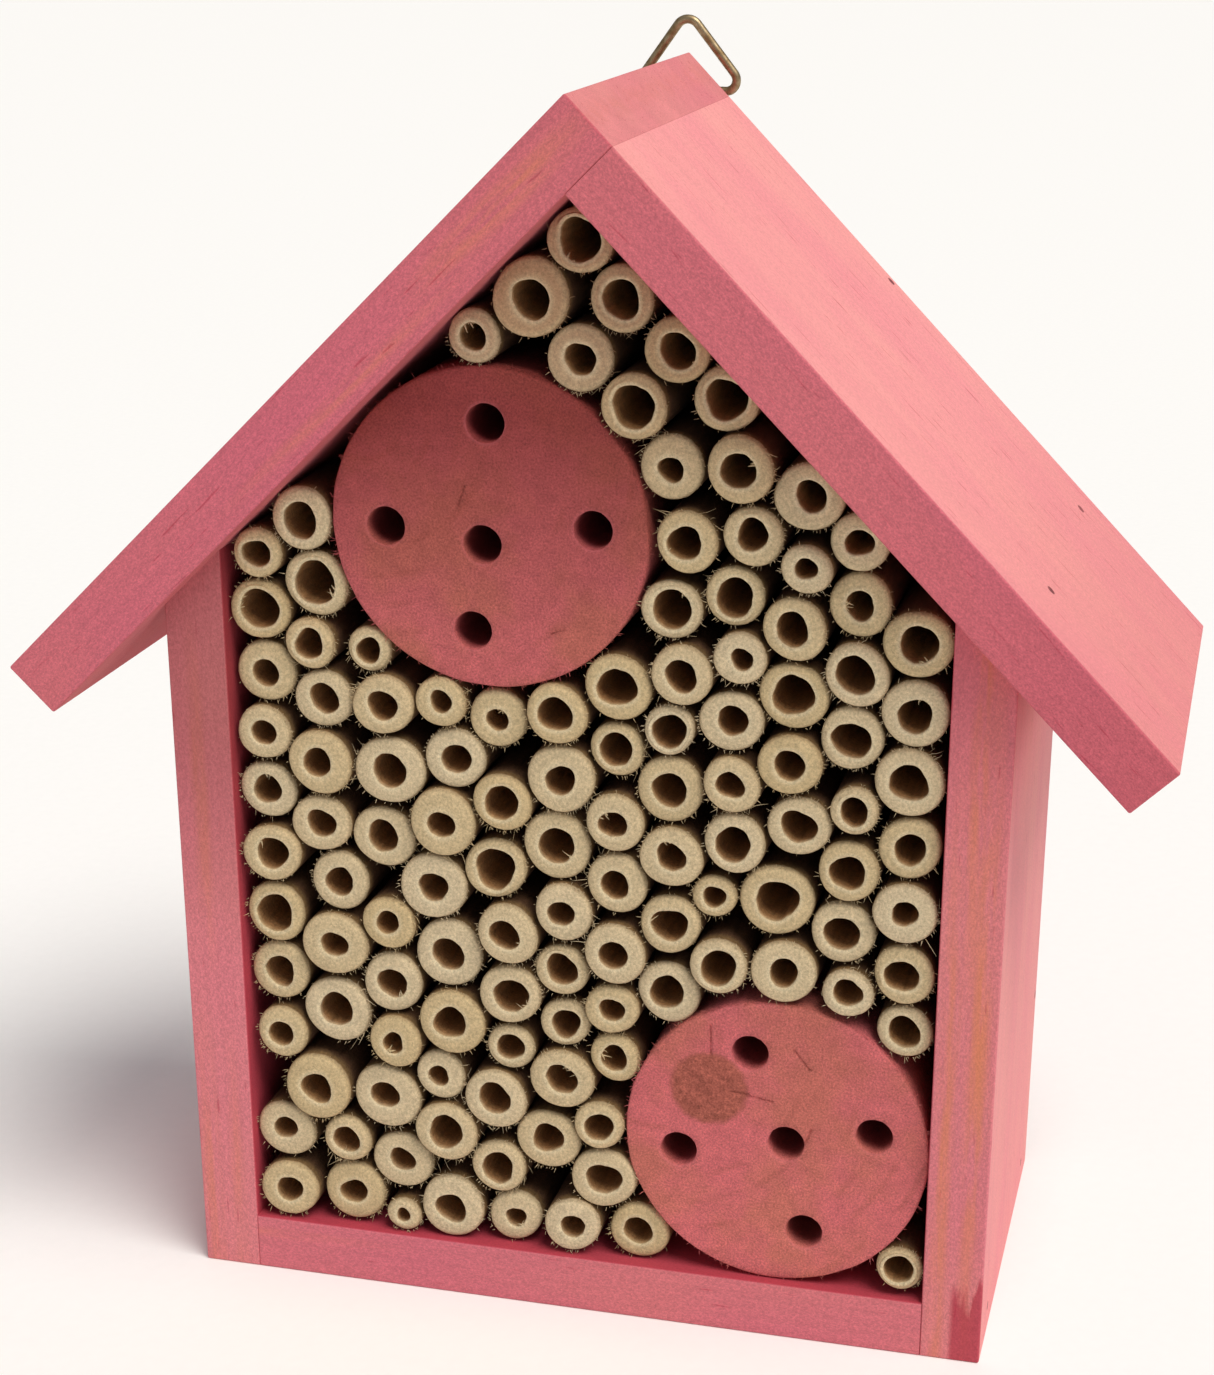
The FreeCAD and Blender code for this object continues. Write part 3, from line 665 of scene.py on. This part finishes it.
def sawn_softwood(name, stain, centre, knot, seed, shade):
    """Rough-sawn end grain of a stained softwood log: felty, mottled, with faint year rings.

    shade is the share of painted shade from the roof's overhang at the log's foot and at its top.
    """
    material, tree, place = new_material(name)
    local = node(tree, "Mapping", {"Vector": place, "Location": (-centre.x, 0, -centre.z)})
    zone = node(tree, "Attribute", {}, "Fac", attribute_name="zone")
    moved = node(tree, "Mapping", {"Vector": place, "Location": (seed * 0.1, 0, 0)})

    share = node(tree, "MapRange", {0: grains(tree, moved, LOG_BLOTS), 1: 0.38, 2: 0.64}, **SMOOTH)
    colour = node(tree, "Mix", {0: share, 6: opaque(stain.log), 7: opaque(stain.log_brown)}, 2, **COLOUR)
    heart = node(tree, "Mapping", {"Vector": local, "Location": (24 * MM, 0, -19 * MM)})
    years = node(tree, "MapRange", {0: year_rings(tree, heart, 5.5, 3.0, "Y"), 1: 0.75, 2: 1.0}, **SMOOTH)
    faint = grains(tree, moved, (13.0, 13.0, 13.0), 2.0)
    faint = node(tree, "MapRange", {0: faint, 1: 0.48, 2: 0.62}, **SMOOTH)
    drawn = node(tree, "Math", {0: years, 1: faint}, operation="MULTIPLY")
    drawn = node(tree, "Math", {0: drawn, 1: 0.3}, operation="MULTIPLY")
    colour = node(tree, "Mix", {0: drawn, 6: colour, 7: opaque(stain.knot)}, 2, **COLOUR)

    if knot:
        inside, halo = knot_shares(tree, place, local)
        crumbs = grains(tree, place, (0.9, 0.9, 0.9), 3.0, 0.7)
        heartwood = shaded(tree, opaque(stain.knot), crumbs, 0.6, 1.45)
        colour = node(tree, "Mix", {0: inside, 6: colour, 7: heartwood}, 2, **COLOUR)
        colour = node(tree, "Mix", {0: halo, 6: colour, 7: opaque(stain.knot)}, 2, **COLOUR)

    # painted shade under the roof's overhang: the log darker towards its top
    height = node(tree, "SeparateXYZ", {0: local}, "Z")
    soaked = node(tree, "MapRange", {0: height, 1: -LOG_FADE, 2: LOG_FADE, 3: shade[0], 4: shade[1]})
    colour = node(tree, "Mix", {0: soaked, 6: colour, 7: opaque(stain.shade_brown)}, 2, **COLOUR)
    felt = grains(tree, place, LOG_FELT, 3.0, 0.75)
    colour = shaded(tree, colour, felt, 0.54, 1.46)
    colour = shaded(tree, colour, grains(tree, place, LOG_MOTTLE, 3.0, 0.7), 0.86, 1.12)
    inside = node(tree, "MapRange", {0: zone, 1: -0.15, 2: -0.5, 4: 0.7}, **SMOOTH)
    colour = node(tree, "Mix", {0: inside, 6: colour, 7: opaque(stain.hole)}, 2, **COLOUR)
    rim = node(tree, "Math", {0: band(tree, zone, 0.05, 0.2), 1: 0.25}, operation="MULTIPLY")
    colour = node(tree, "Mix", {0: rim, 6: colour, 7: opaque(stain.coral)}, 2, **COLOUR)
    rough = node(tree, "MapRange", {0: felt, 1: 0.2, 2: 0.8, 3: 0.8, 4: 0.95})
    surface(tree, colour, rough, felt, 0.2 * MM, gloss=0.2)
    return material


class HOTEL_OT_logs(bpy.types.Operator):
    """Saw and drill the two logs"""

    bl_idname = "hotel.logs"
    bl_label = "Make Logs"

    def execute(self, context):
        stain = context.scene.hotel_stain
        for name, cad_name, cracks, knot, seed, shade in (
            ("sawn_log_upper", "log_upper", UPPER_CRACKS, False, 3.0, (0.22, 0.82)),
            ("sawn_log_lower", "log_lower", LOWER_CRACKS, True, 8.0, (0.0, 0.12)),
        ):
            low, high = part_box(cad_name)
            material = sawn_softwood("stained_" + name, stain, (low + high) / 2, knot, seed, shade)
            sawn_log(name, cad_name, cracks, knot, material, seed)
        return {"FINISHED"}


# ---- canes ----
CANE_SEGMENTS = 60
SHARPEST_FLAT = 0.06        # how much a bore is flattened on one side
BORE_SHIFT = 0.16           # how far a bore lies off the middle, as a share of the wall
CANE_LUMPS = 2000           # lumps per metre on a sawn end
THINNEST_WALL = 0.1 * MM
SAME_AXIS = 0.05 * MM       # a bore's axis is nearer than this to that of its cane
EDGE_DEPTH = 0.8 * MM       # the broken edge of a cane reaches this far back
EDGE_INSET = 0.15 * MM      # and fibres start this far in from there
LONG_FIBRES = 6
FIBRE_WIDTHS = (0.05, 0.10)         # mm
SPLINTER_WIDTHS = (0.10, 0.28)      # mm
LONG_FIBRE_CHANCE = 0.28
SPLINTER_CHANCE = 0.22
SHADE_FROM, SHADE_TO = 0.155, 0.215     # height in metres over which painted shade and red bounce light from the roof tint the canes
CANE_FELT = (0.55, 0.55, 0.55)          # mm, torn fibre ends, drawn coarser than they are so that they show


class Cane:
    """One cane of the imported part: its axis, its two radii, and where it starts and ends."""

    def __init__(self, outside, bore, front, back):
        self.x = outside.x
        self.z = outside.z
        self.radius = outside.radius
        self.bore = bore.radius
        self.front = front
        self.back = back


def canes_of(cad_name):
    """The canes of a CAD node, read from the circles at their back ends."""
    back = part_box(cad_name)[1].y
    circles, corners = circles_at(cad_name, back)
    canes = []
    for outside in circles:
        for bore in circles:
            apart = math.hypot(outside.x - bore.x, outside.z - bore.z)
            if bore.radius < outside.radius - THINNEST_WALL and apart < SAME_AXIS:
                reach = outside.radius * 1.05
                near = [c.y for c in corners if math.hypot(c.x - outside.x, c.z - outside.z) < reach]
                canes.append(Cane(outside, bore, min(near), back))
    return canes


class Grown:
    """The uneven, grown shape of a cane: its outline and its bore as functions of the angle."""

    def __init__(self, cane, chance, ovality):
        self.cane = cane
        self.turn = chance.uniform(0, math.tau)
        self.bore_turn = chance.uniform(0, math.tau)
        self.oval = ovality * chance.uniform(0.2, 1.3)
        self.three = ovality * chance.uniform(0.0, 0.5)
        self.bore_oval = chance.uniform(0.01, 0.09)
        self.flat = chance.uniform(0, SHARPEST_FLAT)
        self.seed = chance.uniform(0, 50)
        shift = (cane.radius - cane.bore) * BORE_SHIFT * chance.random()
        self.shift = Vector((math.cos(self.turn + 1), math.sin(self.turn + 1))) * shift

    def outer(self, angle):
        """Outer radius at an angle."""
        grown = 1 + self.oval * math.cos(2 * angle + self.turn)
        grown += self.three * math.cos(3 * angle + self.bore_turn)
        return self.cane.radius * grown

    def inner(self, angle):
        """Bore radius at an angle."""
        grown = 1 + self.bore_oval * math.cos(2 * angle + self.bore_turn)
        grown += self.flat * math.cos(3 * angle + self.turn)
        grown += 0.05 * noise.noise(Vector((math.cos(angle) * 2.2, math.sin(angle) * 2.2, self.seed)))
        return self.cane.bore * grown

    def section(self, angle, share, inset):
        """A point across the axis: share 0 is the bore and 1 the outside; inset is metres in from there."""
        out = Vector((math.cos(angle), math.sin(angle)))
        inner = self.shift + out * (self.inner(angle) + max(inset, 0.0))
        outer = out * (self.outer(angle) - max(-inset, 0.0))
        return inner.lerp(outer, share)

    def lumps(self, place, depth):
        """How far, from -1 to 1, the skin is raised at a point of the section, this deep."""
        return noise.noise(Vector((place.x, place.y, depth)) * CANE_LUMPS + Vector((0, 0, self.seed)))

    def placed(self, place, depth):
        """A point of the section in the house, this deep behind the cane's front."""
        return Vector((self.cane.x + place.x, self.cane.front + depth, self.cane.z + place.y))

    def point(self, angle, share, inset, depth):
        """A point of the skin, with no lumps."""
        return self.placed(self.section(angle, share, inset), depth)


# rings of a cane's skin, from its back end forward, over the sawn face and back down the bore:
# share across the wall, metres in from it, depth behind the front, zone of its colour, height of its lumps
CANE_RINGS = (
    (1.0, 0.0, 12.0 * MM, 1.9, 0.04 * MM),
    (1.0, 0.0, 4.0 * MM, 1.6, 0.05 * MM),
    (1.0, 0.0, 1.9 * MM, 1.3, 0.08 * MM),
    (1.0, -0.05 * MM, 1.15 * MM, 1.12, 0.12 * MM),
    (1.0, -0.25 * MM, 0.62 * MM, 1.0, 0.14 * MM),
    (1.0, -0.62 * MM, 0.27 * MM, 0.86, 0.10 * MM),
    (1.0, -1.1 * MM, 0.08 * MM, 0.7, 0.07 * MM),
    (0.42, 0.0, 0.0, 0.42, 0.06 * MM),
    (0.0, 0.62 * MM, 0.02 * MM, 0.2, 0.05 * MM),
    (0.0, 0.32 * MM, 0.0, 0.08, 0.04 * MM),
    (0.0, 0.10 * MM, 0.12 * MM, 0.0, 0.04 * MM),
    (0.0, 0.0, 0.45 * MM, -0.12, 0.05 * MM),
    (0.0, 0.0, 1.6 * MM, -0.35, 0.06 * MM),
    (0.0, 0.0, 6.0 * MM, -0.65, 0.08 * MM),
    (0.0, 0.0, 18.0 * MM, -1.0, 0.08 * MM),
)


def cane_skin(bm, grown):
    """One cane as a closed tube: a circle drawn out ring by ring, then joined to itself."""
    cane = grown.cane
    zone = bm.verts.layers.float["zone"]
    turn = bm.verts.layers.float.new("turn")
    verts = bmesh.ops.create_circle(bm, segments=CANE_SEGMENTS, radius=1.0)["verts"]
    for vert in verts:
        vert[turn] = math.atan2(vert.co.y, vert.co.x)
    first = list(bm.edges)
    edges = first
    length = cane.back - cane.front
    steps = ((1.0, 0.0, length, 2.0, 0.0), *CANE_RINGS, (0.0, 0.0, length, -1.0, 0.0))
    for number, (share, inset, depth, colour_zone, rough) in enumerate(steps):
        if number:
            edges, verts = ring_out(bm, edges)
        depth = min(depth, length)
        for vert in verts:
            place = grown.section(vert[turn], share, inset)
            lump = grown.lumps(place, depth) * rough
            out = Vector((math.cos(vert[turn]), 0, math.sin(vert[turn])))
            vert.co = grown.placed(place, depth) + Vector((0, lump, 0)) + out * (lump * share)
            vert[zone] = colour_zone
    bmesh.ops.bridge_loops(bm, edges=first + edges)


def fray(bm, grown, chance, settings):
    """Torn fibres round the sawn end, thickest where the saw came out, and splinters in the bore."""
    exit_side = chance.uniform(0, math.tau)
    for _ in range(settings.fibres):
        angle = exit_side + chance.gauss(0, 1.3)
        depth = abs(chance.gauss(0.5, 0.5)) * MM
        start = grown.point(angle, 1.0, -EDGE_INSET if depth < EDGE_DEPTH else 0.0, depth)
        out = Vector((math.cos(angle), 0, math.sin(angle)))
        stray = Vector((chance.gauss(0, 0.5), chance.gauss(-0.5, 0.5), chance.gauss(0, 0.5)))
        length = settings.fibre_length * chance.uniform(0.35, 1.25)
        bend = Vector((chance.gauss(0, 0.3), chance.gauss(0, 0.3), chance.gauss(-0.1, 0.3))) * length
        width = chance.uniform(*FIBRE_WIDTHS) * MM
        fibre(bm, start, (out + stray).normalized(), length, width, bend, 0.75)
    if chance.random() < LONG_FIBRE_CHANCE:
        long_fibres(bm, grown, chance, settings, exit_side)
    if chance.random() < SPLINTER_CHANCE:
        splinters(bm, grown, chance)


def long_fibres(bm, grown, chance, settings, exit_side):
    """A tuft of long fibres that lie round the cane, where the saw came out."""
    for _ in range(LONG_FIBRES):
        angle = exit_side + chance.gauss(0, 0.5)
        start = grown.point(angle, 1.0, 0.0, chance.uniform(0.4, 2.5) * MM)
        out = Vector((math.cos(angle), 0, math.sin(angle)))
        along = Vector((-out.z, 0, out.x)) * chance.gauss(0, 0.8)
        heading = (out * 0.5 + along + Vector((0, chance.uniform(-0.4, 0.2), 0))).normalized()
        length = settings.fibre_length * chance.uniform(1.6, 3.8)
        bend = Vector((chance.gauss(0, 0.3), 0, chance.gauss(0, 0.3))) * length
        fibre(bm, start, heading, length, chance.uniform(*FIBRE_WIDTHS) * MM, bend, 0.7)


def splinters(bm, grown, chance):
    """A few splinters that stand into the bore."""
    angle = chance.uniform(0, math.tau)
    out = Vector((math.cos(angle), 0, math.sin(angle)))
    for _ in range(chance.randint(2, 5)):
        start = grown.point(angle + chance.gauss(0, 0.25), 0.0, 0.1 * MM, 0.3 * MM)
        stray = Vector((chance.gauss(0, 0.5), chance.uniform(0, 0.5), chance.gauss(0, 0.5)))
        length = min(grown.cane.bore * 0.5, 0.9 * MM) * chance.uniform(0.5, 1.3)
        bend = Vector((chance.gauss(0, 0.5), 0, chance.gauss(0, 0.5))) * length
        width = chance.uniform(*SPLINTER_WIDTHS) * MM
        fibre(bm, start, (stray - out).normalized(), length, width, bend, 0.3)


def grown_cane(cane, chance, settings, joined):
    """Add one cane with its fibres to a joined bmesh."""
    bm = bmesh.new()
    bm.verts.layers.float.new("zone")
    grown = Grown(cane, chance, settings.ovality)
    cane_skin(bm, grown)
    fray(bm, grown, chance, settings)
    tone = bm.verts.layers.float.new("tone")
    shade = chance.random()
    for vert in bm.verts:
        vert[tone] = shade
    bm.verts.layers.float.remove(bm.verts.layers.float["turn"])
    part = bpy.data.meshes.new("cane_part")
    bm.to_mesh(part)
    bm.free()
    joined.from_mesh(part)
    bpy.data.meshes.remove(part)


def sawn_bamboo(settings):
    """Dry bamboo, sawn across: a matt, felty cream end, a paler skin round the bore and a brown inside."""
    material, tree, place = new_material("sawn_bamboo")
    zone = node(tree, "Attribute", {}, "Fac", attribute_name="zone")
    tone = node(tree, "Attribute", {}, "Fac", attribute_name="tone")
    face = node(tree, "Mix", {0: tone, 6: opaque(settings.cream), 7: opaque(settings.straw)}, 2, **COLOUR)
    face = shaded(tree, face, grains(tree, place, (3.2, 3.2, 3.2)), 0.92, 1.07)
    deep = shaded(tree, opaque(settings.bore), grains(tree, place, (1.0, 7.0, 1.0)), 0.75, 1.2)
    rind = shaded(tree, opaque(settings.rind), grains(tree, place, (0.9, 14.0, 0.9)), 0.7, 1.15)
    pale = node(tree, "Mix", {0: 0.4, 6: face, 7: opaque(settings.pith)}, 2, **COLOUR)
    # darker towards the outer edge of the sawn end
    darker_rim = node(tree, "Mix", {0: 0.35, 6: face, 7: opaque(settings.rind)}, 2, **COLOUR)
    mouth = node(tree, "Mix", {0: 0.45, 6: deep, 7: face}, 2, **COLOUR)
    # painted shade on the sides of the canes, in the gaps between them
    gap_shade = shaded(tree, opaque(settings.gap_shade), grains(tree, place, (1.2, 9.0, 1.2)), 0.7, 1.2)
    colour = mouth
    # each tint, and the zones of the mesh between which it comes in: the bore, the sawn end, the rind and the
    # painted shade further back along the side
    for start, stop, tint in (
        (-0.14, -0.02, pale), (-0.12, -0.40, deep), (0.04, 0.40, face),
        (0.84, 1.06, darker_rim), (1.04, 1.22, rind), (1.24, 1.62, gap_shade),
    ):
        share = node(tree, "MapRange", {0: zone, 1: start, 2: stop}, **SMOOTH)
        colour = node(tree, "Mix", {0: share, 6: colour, 7: tint}, 2, **COLOUR)
    # painted shade and red bounce light from the roof, on the ends of the top canes
    height = node(tree, "SeparateXYZ", {0: place}, "Z")
    roof_shade_share = node(tree, "MapRange", {0: height, 1: SHADE_FROM, 2: SHADE_TO, 4: 0.6}, **SMOOTH)
    roof_shade_share = node(tree, "Math", {0: roof_shade_share, 1: band(tree, zone, 0.5, 0.9)}, operation="MULTIPLY")
    colour = node(tree, "Mix", {0: roof_shade_share, 6: colour, 7: opaque(settings.roof_shade_and_bounce)}, 2, **COLOUR)
    felt = grains(tree, place, CANE_FELT, 3.0, 0.8)
    colour = shaded(tree, colour, felt, 0.62, 1.34)
    rough = node(tree, "MapRange", {0: felt, 1: 0.2, 2: 0.8, 3: 0.78, 4: 0.92})
    surface(tree, colour, rough, felt, 0.22 * MM, gloss=0.2)
    return material


class HOTEL_OT_canes(bpy.types.Operator):
    """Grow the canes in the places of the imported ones"""

    bl_idname = "hotel.canes"
    bl_label = "Grow Canes"

    def execute(self, context):
        settings = context.scene.hotel_canes
        material = sawn_bamboo(settings)
        names = sorted(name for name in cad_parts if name.startswith("canes_"))
        for number, cad_name in enumerate(names):
            joined = bmesh.new()
            for place, cane in enumerate(canes_of(cad_name)):
                grown_cane(cane, random.Random(number * 10 + place), settings, joined)
            finish_piece("bamboo_" + cad_name, joined, material, cad_name)
        return {"FINISHED"}


# ---- nails, screw and ring ----
def worn_metal(name, base, dark, roughness, scratch, metallic=1.0):
    """Thin bright metal that has gone dull in patches: the patches are darker and rougher."""
    material, tree, place = new_material(name)
    patches = grains(tree, place, (2.4, 2.4, 2.4), 4.0, 0.6)
    fine = grains(tree, place, scratch, 3.0, 0.6)
    share = node(tree, "MapRange", {0: patches, 1: 0.38, 2: 0.66}, **SMOOTH)
    colour = node(tree, "Mix", {0: share, 6: opaque(linear(base)), 7: opaque(linear(dark))}, 2, **COLOUR)
    colour = shaded(tree, colour, fine, 0.92, 1.06)
    rough = node(tree, "MapRange", {0: patches, 1: 0.3, 2: 0.7, 3: roughness - 0.08, 4: roughness + 0.14})
    surface(tree, colour, rough, fine, 0.02 * MM, metallic=metallic)
    return material


class HOTEL_OT_fastenings(bpy.types.Operator):
    """Finish the nails, the screw, the strap and the hanging ring"""

    bl_idname = "hotel.fastenings"
    bl_label = "Finish Fastenings"

    def execute(self, context):
        # drawn wire, dark from the stain that was brushed over its heads
        nail = worn_metal("stained_wire_nail", "#a85558", "#7a383c", 0.6, (0.4, 0.4, 0.4), 0.2)
        # brass-plated wire: warm, with brown where the plating is thin
        ring = worn_metal("brassed_wire", "#a99778", "#89714f", 0.46, (0.5, 0.5, 0.5))
        # rolled brass strip, a little brighter than the wire
        strap = worn_metal("rolled_brass", "#bfa36a", "#8a6a42", 0.34, (3.0, 0.3, 0.3))
        # yellow zinc plating on the screw
        screw = worn_metal("yellow_zinc", "#b8a878", "#86764e", 0.32, (0.5, 0.5, 0.5))
        for name in ("roof_nails", "ridge_nails", "floor_nails", "panel_nails"):
            paint(name, nail)
        paint("hanger_ring", ring)
        paint("hanger_strap", strap)
        paint("hanger_screw", screw)
        return {"FINISHED"}


# ---- stage ----
CAMERA_PLACE = (0.12207, -0.46752, 0.28568)
CAMERA_TURN = (69.436, -1.153, 11.999)     # degrees
CAMERA_SHIFT = (-0.1113, 0.0566)
LENS = 65.48                        # mm, on a sensor 36 mm wide
SENSOR = 36
FLOOR_RADIUS = 30.0
KEY_FROM = (0.42, -0.24, 0.87)      # the key light's direction, seen from the house
KEY_SOFTNESS = 35                   # degrees that the key light spans
HORIZON_BAND = (0.02, 0.12)         # the surroundings change between these heights, as sines


def seamless_paper(light):
    """Background paper: pale and matt, with a barely visible tooth."""
    material, tree, place = new_material("seamless_paper")
    tooth = grains(tree, place, (3.0, 3.0, 3.0), 2.0)
    colour = shaded(tree, opaque(light.paper), tooth, 0.99, 1.01)
    surface(tree, colour, 0.9, tooth, 0.02 * MM, gloss=0.2)
    return material


class HOTEL_OT_stage(bpy.types.Operator):
    """Set the pale floor, the soft lights and the camera"""

    bl_idname = "hotel.stage"
    bl_label = "Set Stage"

    def execute(self, context):
        light = context.scene.hotel_light
        bm = bmesh.new()
        bmesh.ops.create_circle(bm, cap_ends=True, segments=96, radius=FLOOR_RADIUS)
        mesh = bpy.data.meshes.new("studio_floor")
        bm.to_mesh(mesh)
        bm.free()
        mesh.materials.append(seamless_paper(light))
        floor = bpy.data.objects.new("studio_floor", mesh)
        context.scene.collection.objects.link(floor)

        lamp = bpy.data.lights.new("key_light", "SUN")
        lamp.energy = light.key
        lamp.angle = math.radians(KEY_SOFTNESS)
        lamp.color = light.key_colour
        lamp_holder = bpy.data.objects.new("key_light", lamp)
        lamp_holder.rotation_euler = Vector(KEY_FROM).to_track_quat("Z", "Y").to_euler()
        context.scene.collection.objects.link(lamp_holder)
        world = bpy.data.worlds.new("pale_surroundings")
        world.use_nodes = True
        tree = world.node_tree
        background = tree.nodes["Background"]
        background.inputs["Color"].default_value = opaque(light.sky_colour)
        height = node(tree, "SeparateXYZ", {0: node(tree, "TexCoord", {}, "Generated")}, "Z")
        ends = {1: HORIZON_BAND[0], 2: HORIZON_BAND[1], 3: light.horizon, 4: light.sky}
        strength = node(tree, "MapRange", {0: height, **ends}, **SMOOTH)
        tree.links.new(strength, background.inputs["Strength"])
        context.scene.world = world
        context.scene.view_settings.view_transform = "Standard"

        camera = bpy.data.cameras.new("camera")
        camera.lens = LENS
        camera.sensor_width = SENSOR
        camera.shift_x, camera.shift_y = CAMERA_SHIFT
        camera.clip_start = 0.01
        camera.clip_end = 100
        holder = bpy.data.objects.new("camera", camera)
        holder.location = CAMERA_PLACE
        holder.rotation_euler = [math.radians(angle) for angle in CAMERA_TURN]
        context.scene.collection.objects.link(holder)
        context.scene.camera = holder
        return {"FINISHED"}


class HOTEL_PT_panel(bpy.types.Panel):
    """Buttons and settings of the insect hotel"""

    bl_idname = "HOTEL_PT_panel"
    bl_label = "Insect Hotel"
    bl_space_type = "VIEW_3D"
    bl_region_type = "UI"
    bl_category = "Insect Hotel"

    def draw(self, context):
        for operator in OPERATORS:
            self.layout.operator(operator.bl_idname)
        for group in (context.scene.hotel_stain, context.scene.hotel_canes, context.scene.hotel_light):
            column = self.layout.column()
            for name in group.__annotations__:
                column.prop(group, name)


OPERATORS = (HOTEL_OT_boards, HOTEL_OT_logs, HOTEL_OT_canes, HOTEL_OT_fastenings, HOTEL_OT_stage)
CLASSES = (HotelStain, HotelCanes, HotelLight, *OPERATORS, HOTEL_PT_panel)


def register():
    for item in CLASSES:
        bpy.utils.register_class(item)
    bpy.types.Scene.hotel_stain = bpy.props.PointerProperty(type=HotelStain)
    bpy.types.Scene.hotel_canes = bpy.props.PointerProperty(type=HotelCanes)
    bpy.types.Scene.hotel_light = bpy.props.PointerProperty(type=HotelLight)


def unregister():
    del bpy.types.Scene.hotel_light
    del bpy.types.Scene.hotel_canes
    del bpy.types.Scene.hotel_stain
    for item in reversed(CLASSES):
        bpy.utils.unregister_class(item)


def main():
    register()
    bpy.ops.hotel.boards()
    bpy.ops.hotel.logs()
    bpy.ops.hotel.canes()
    bpy.ops.hotel.fastenings()
    bpy.ops.hotel.stage()


if __name__ == "__main__":
    main()
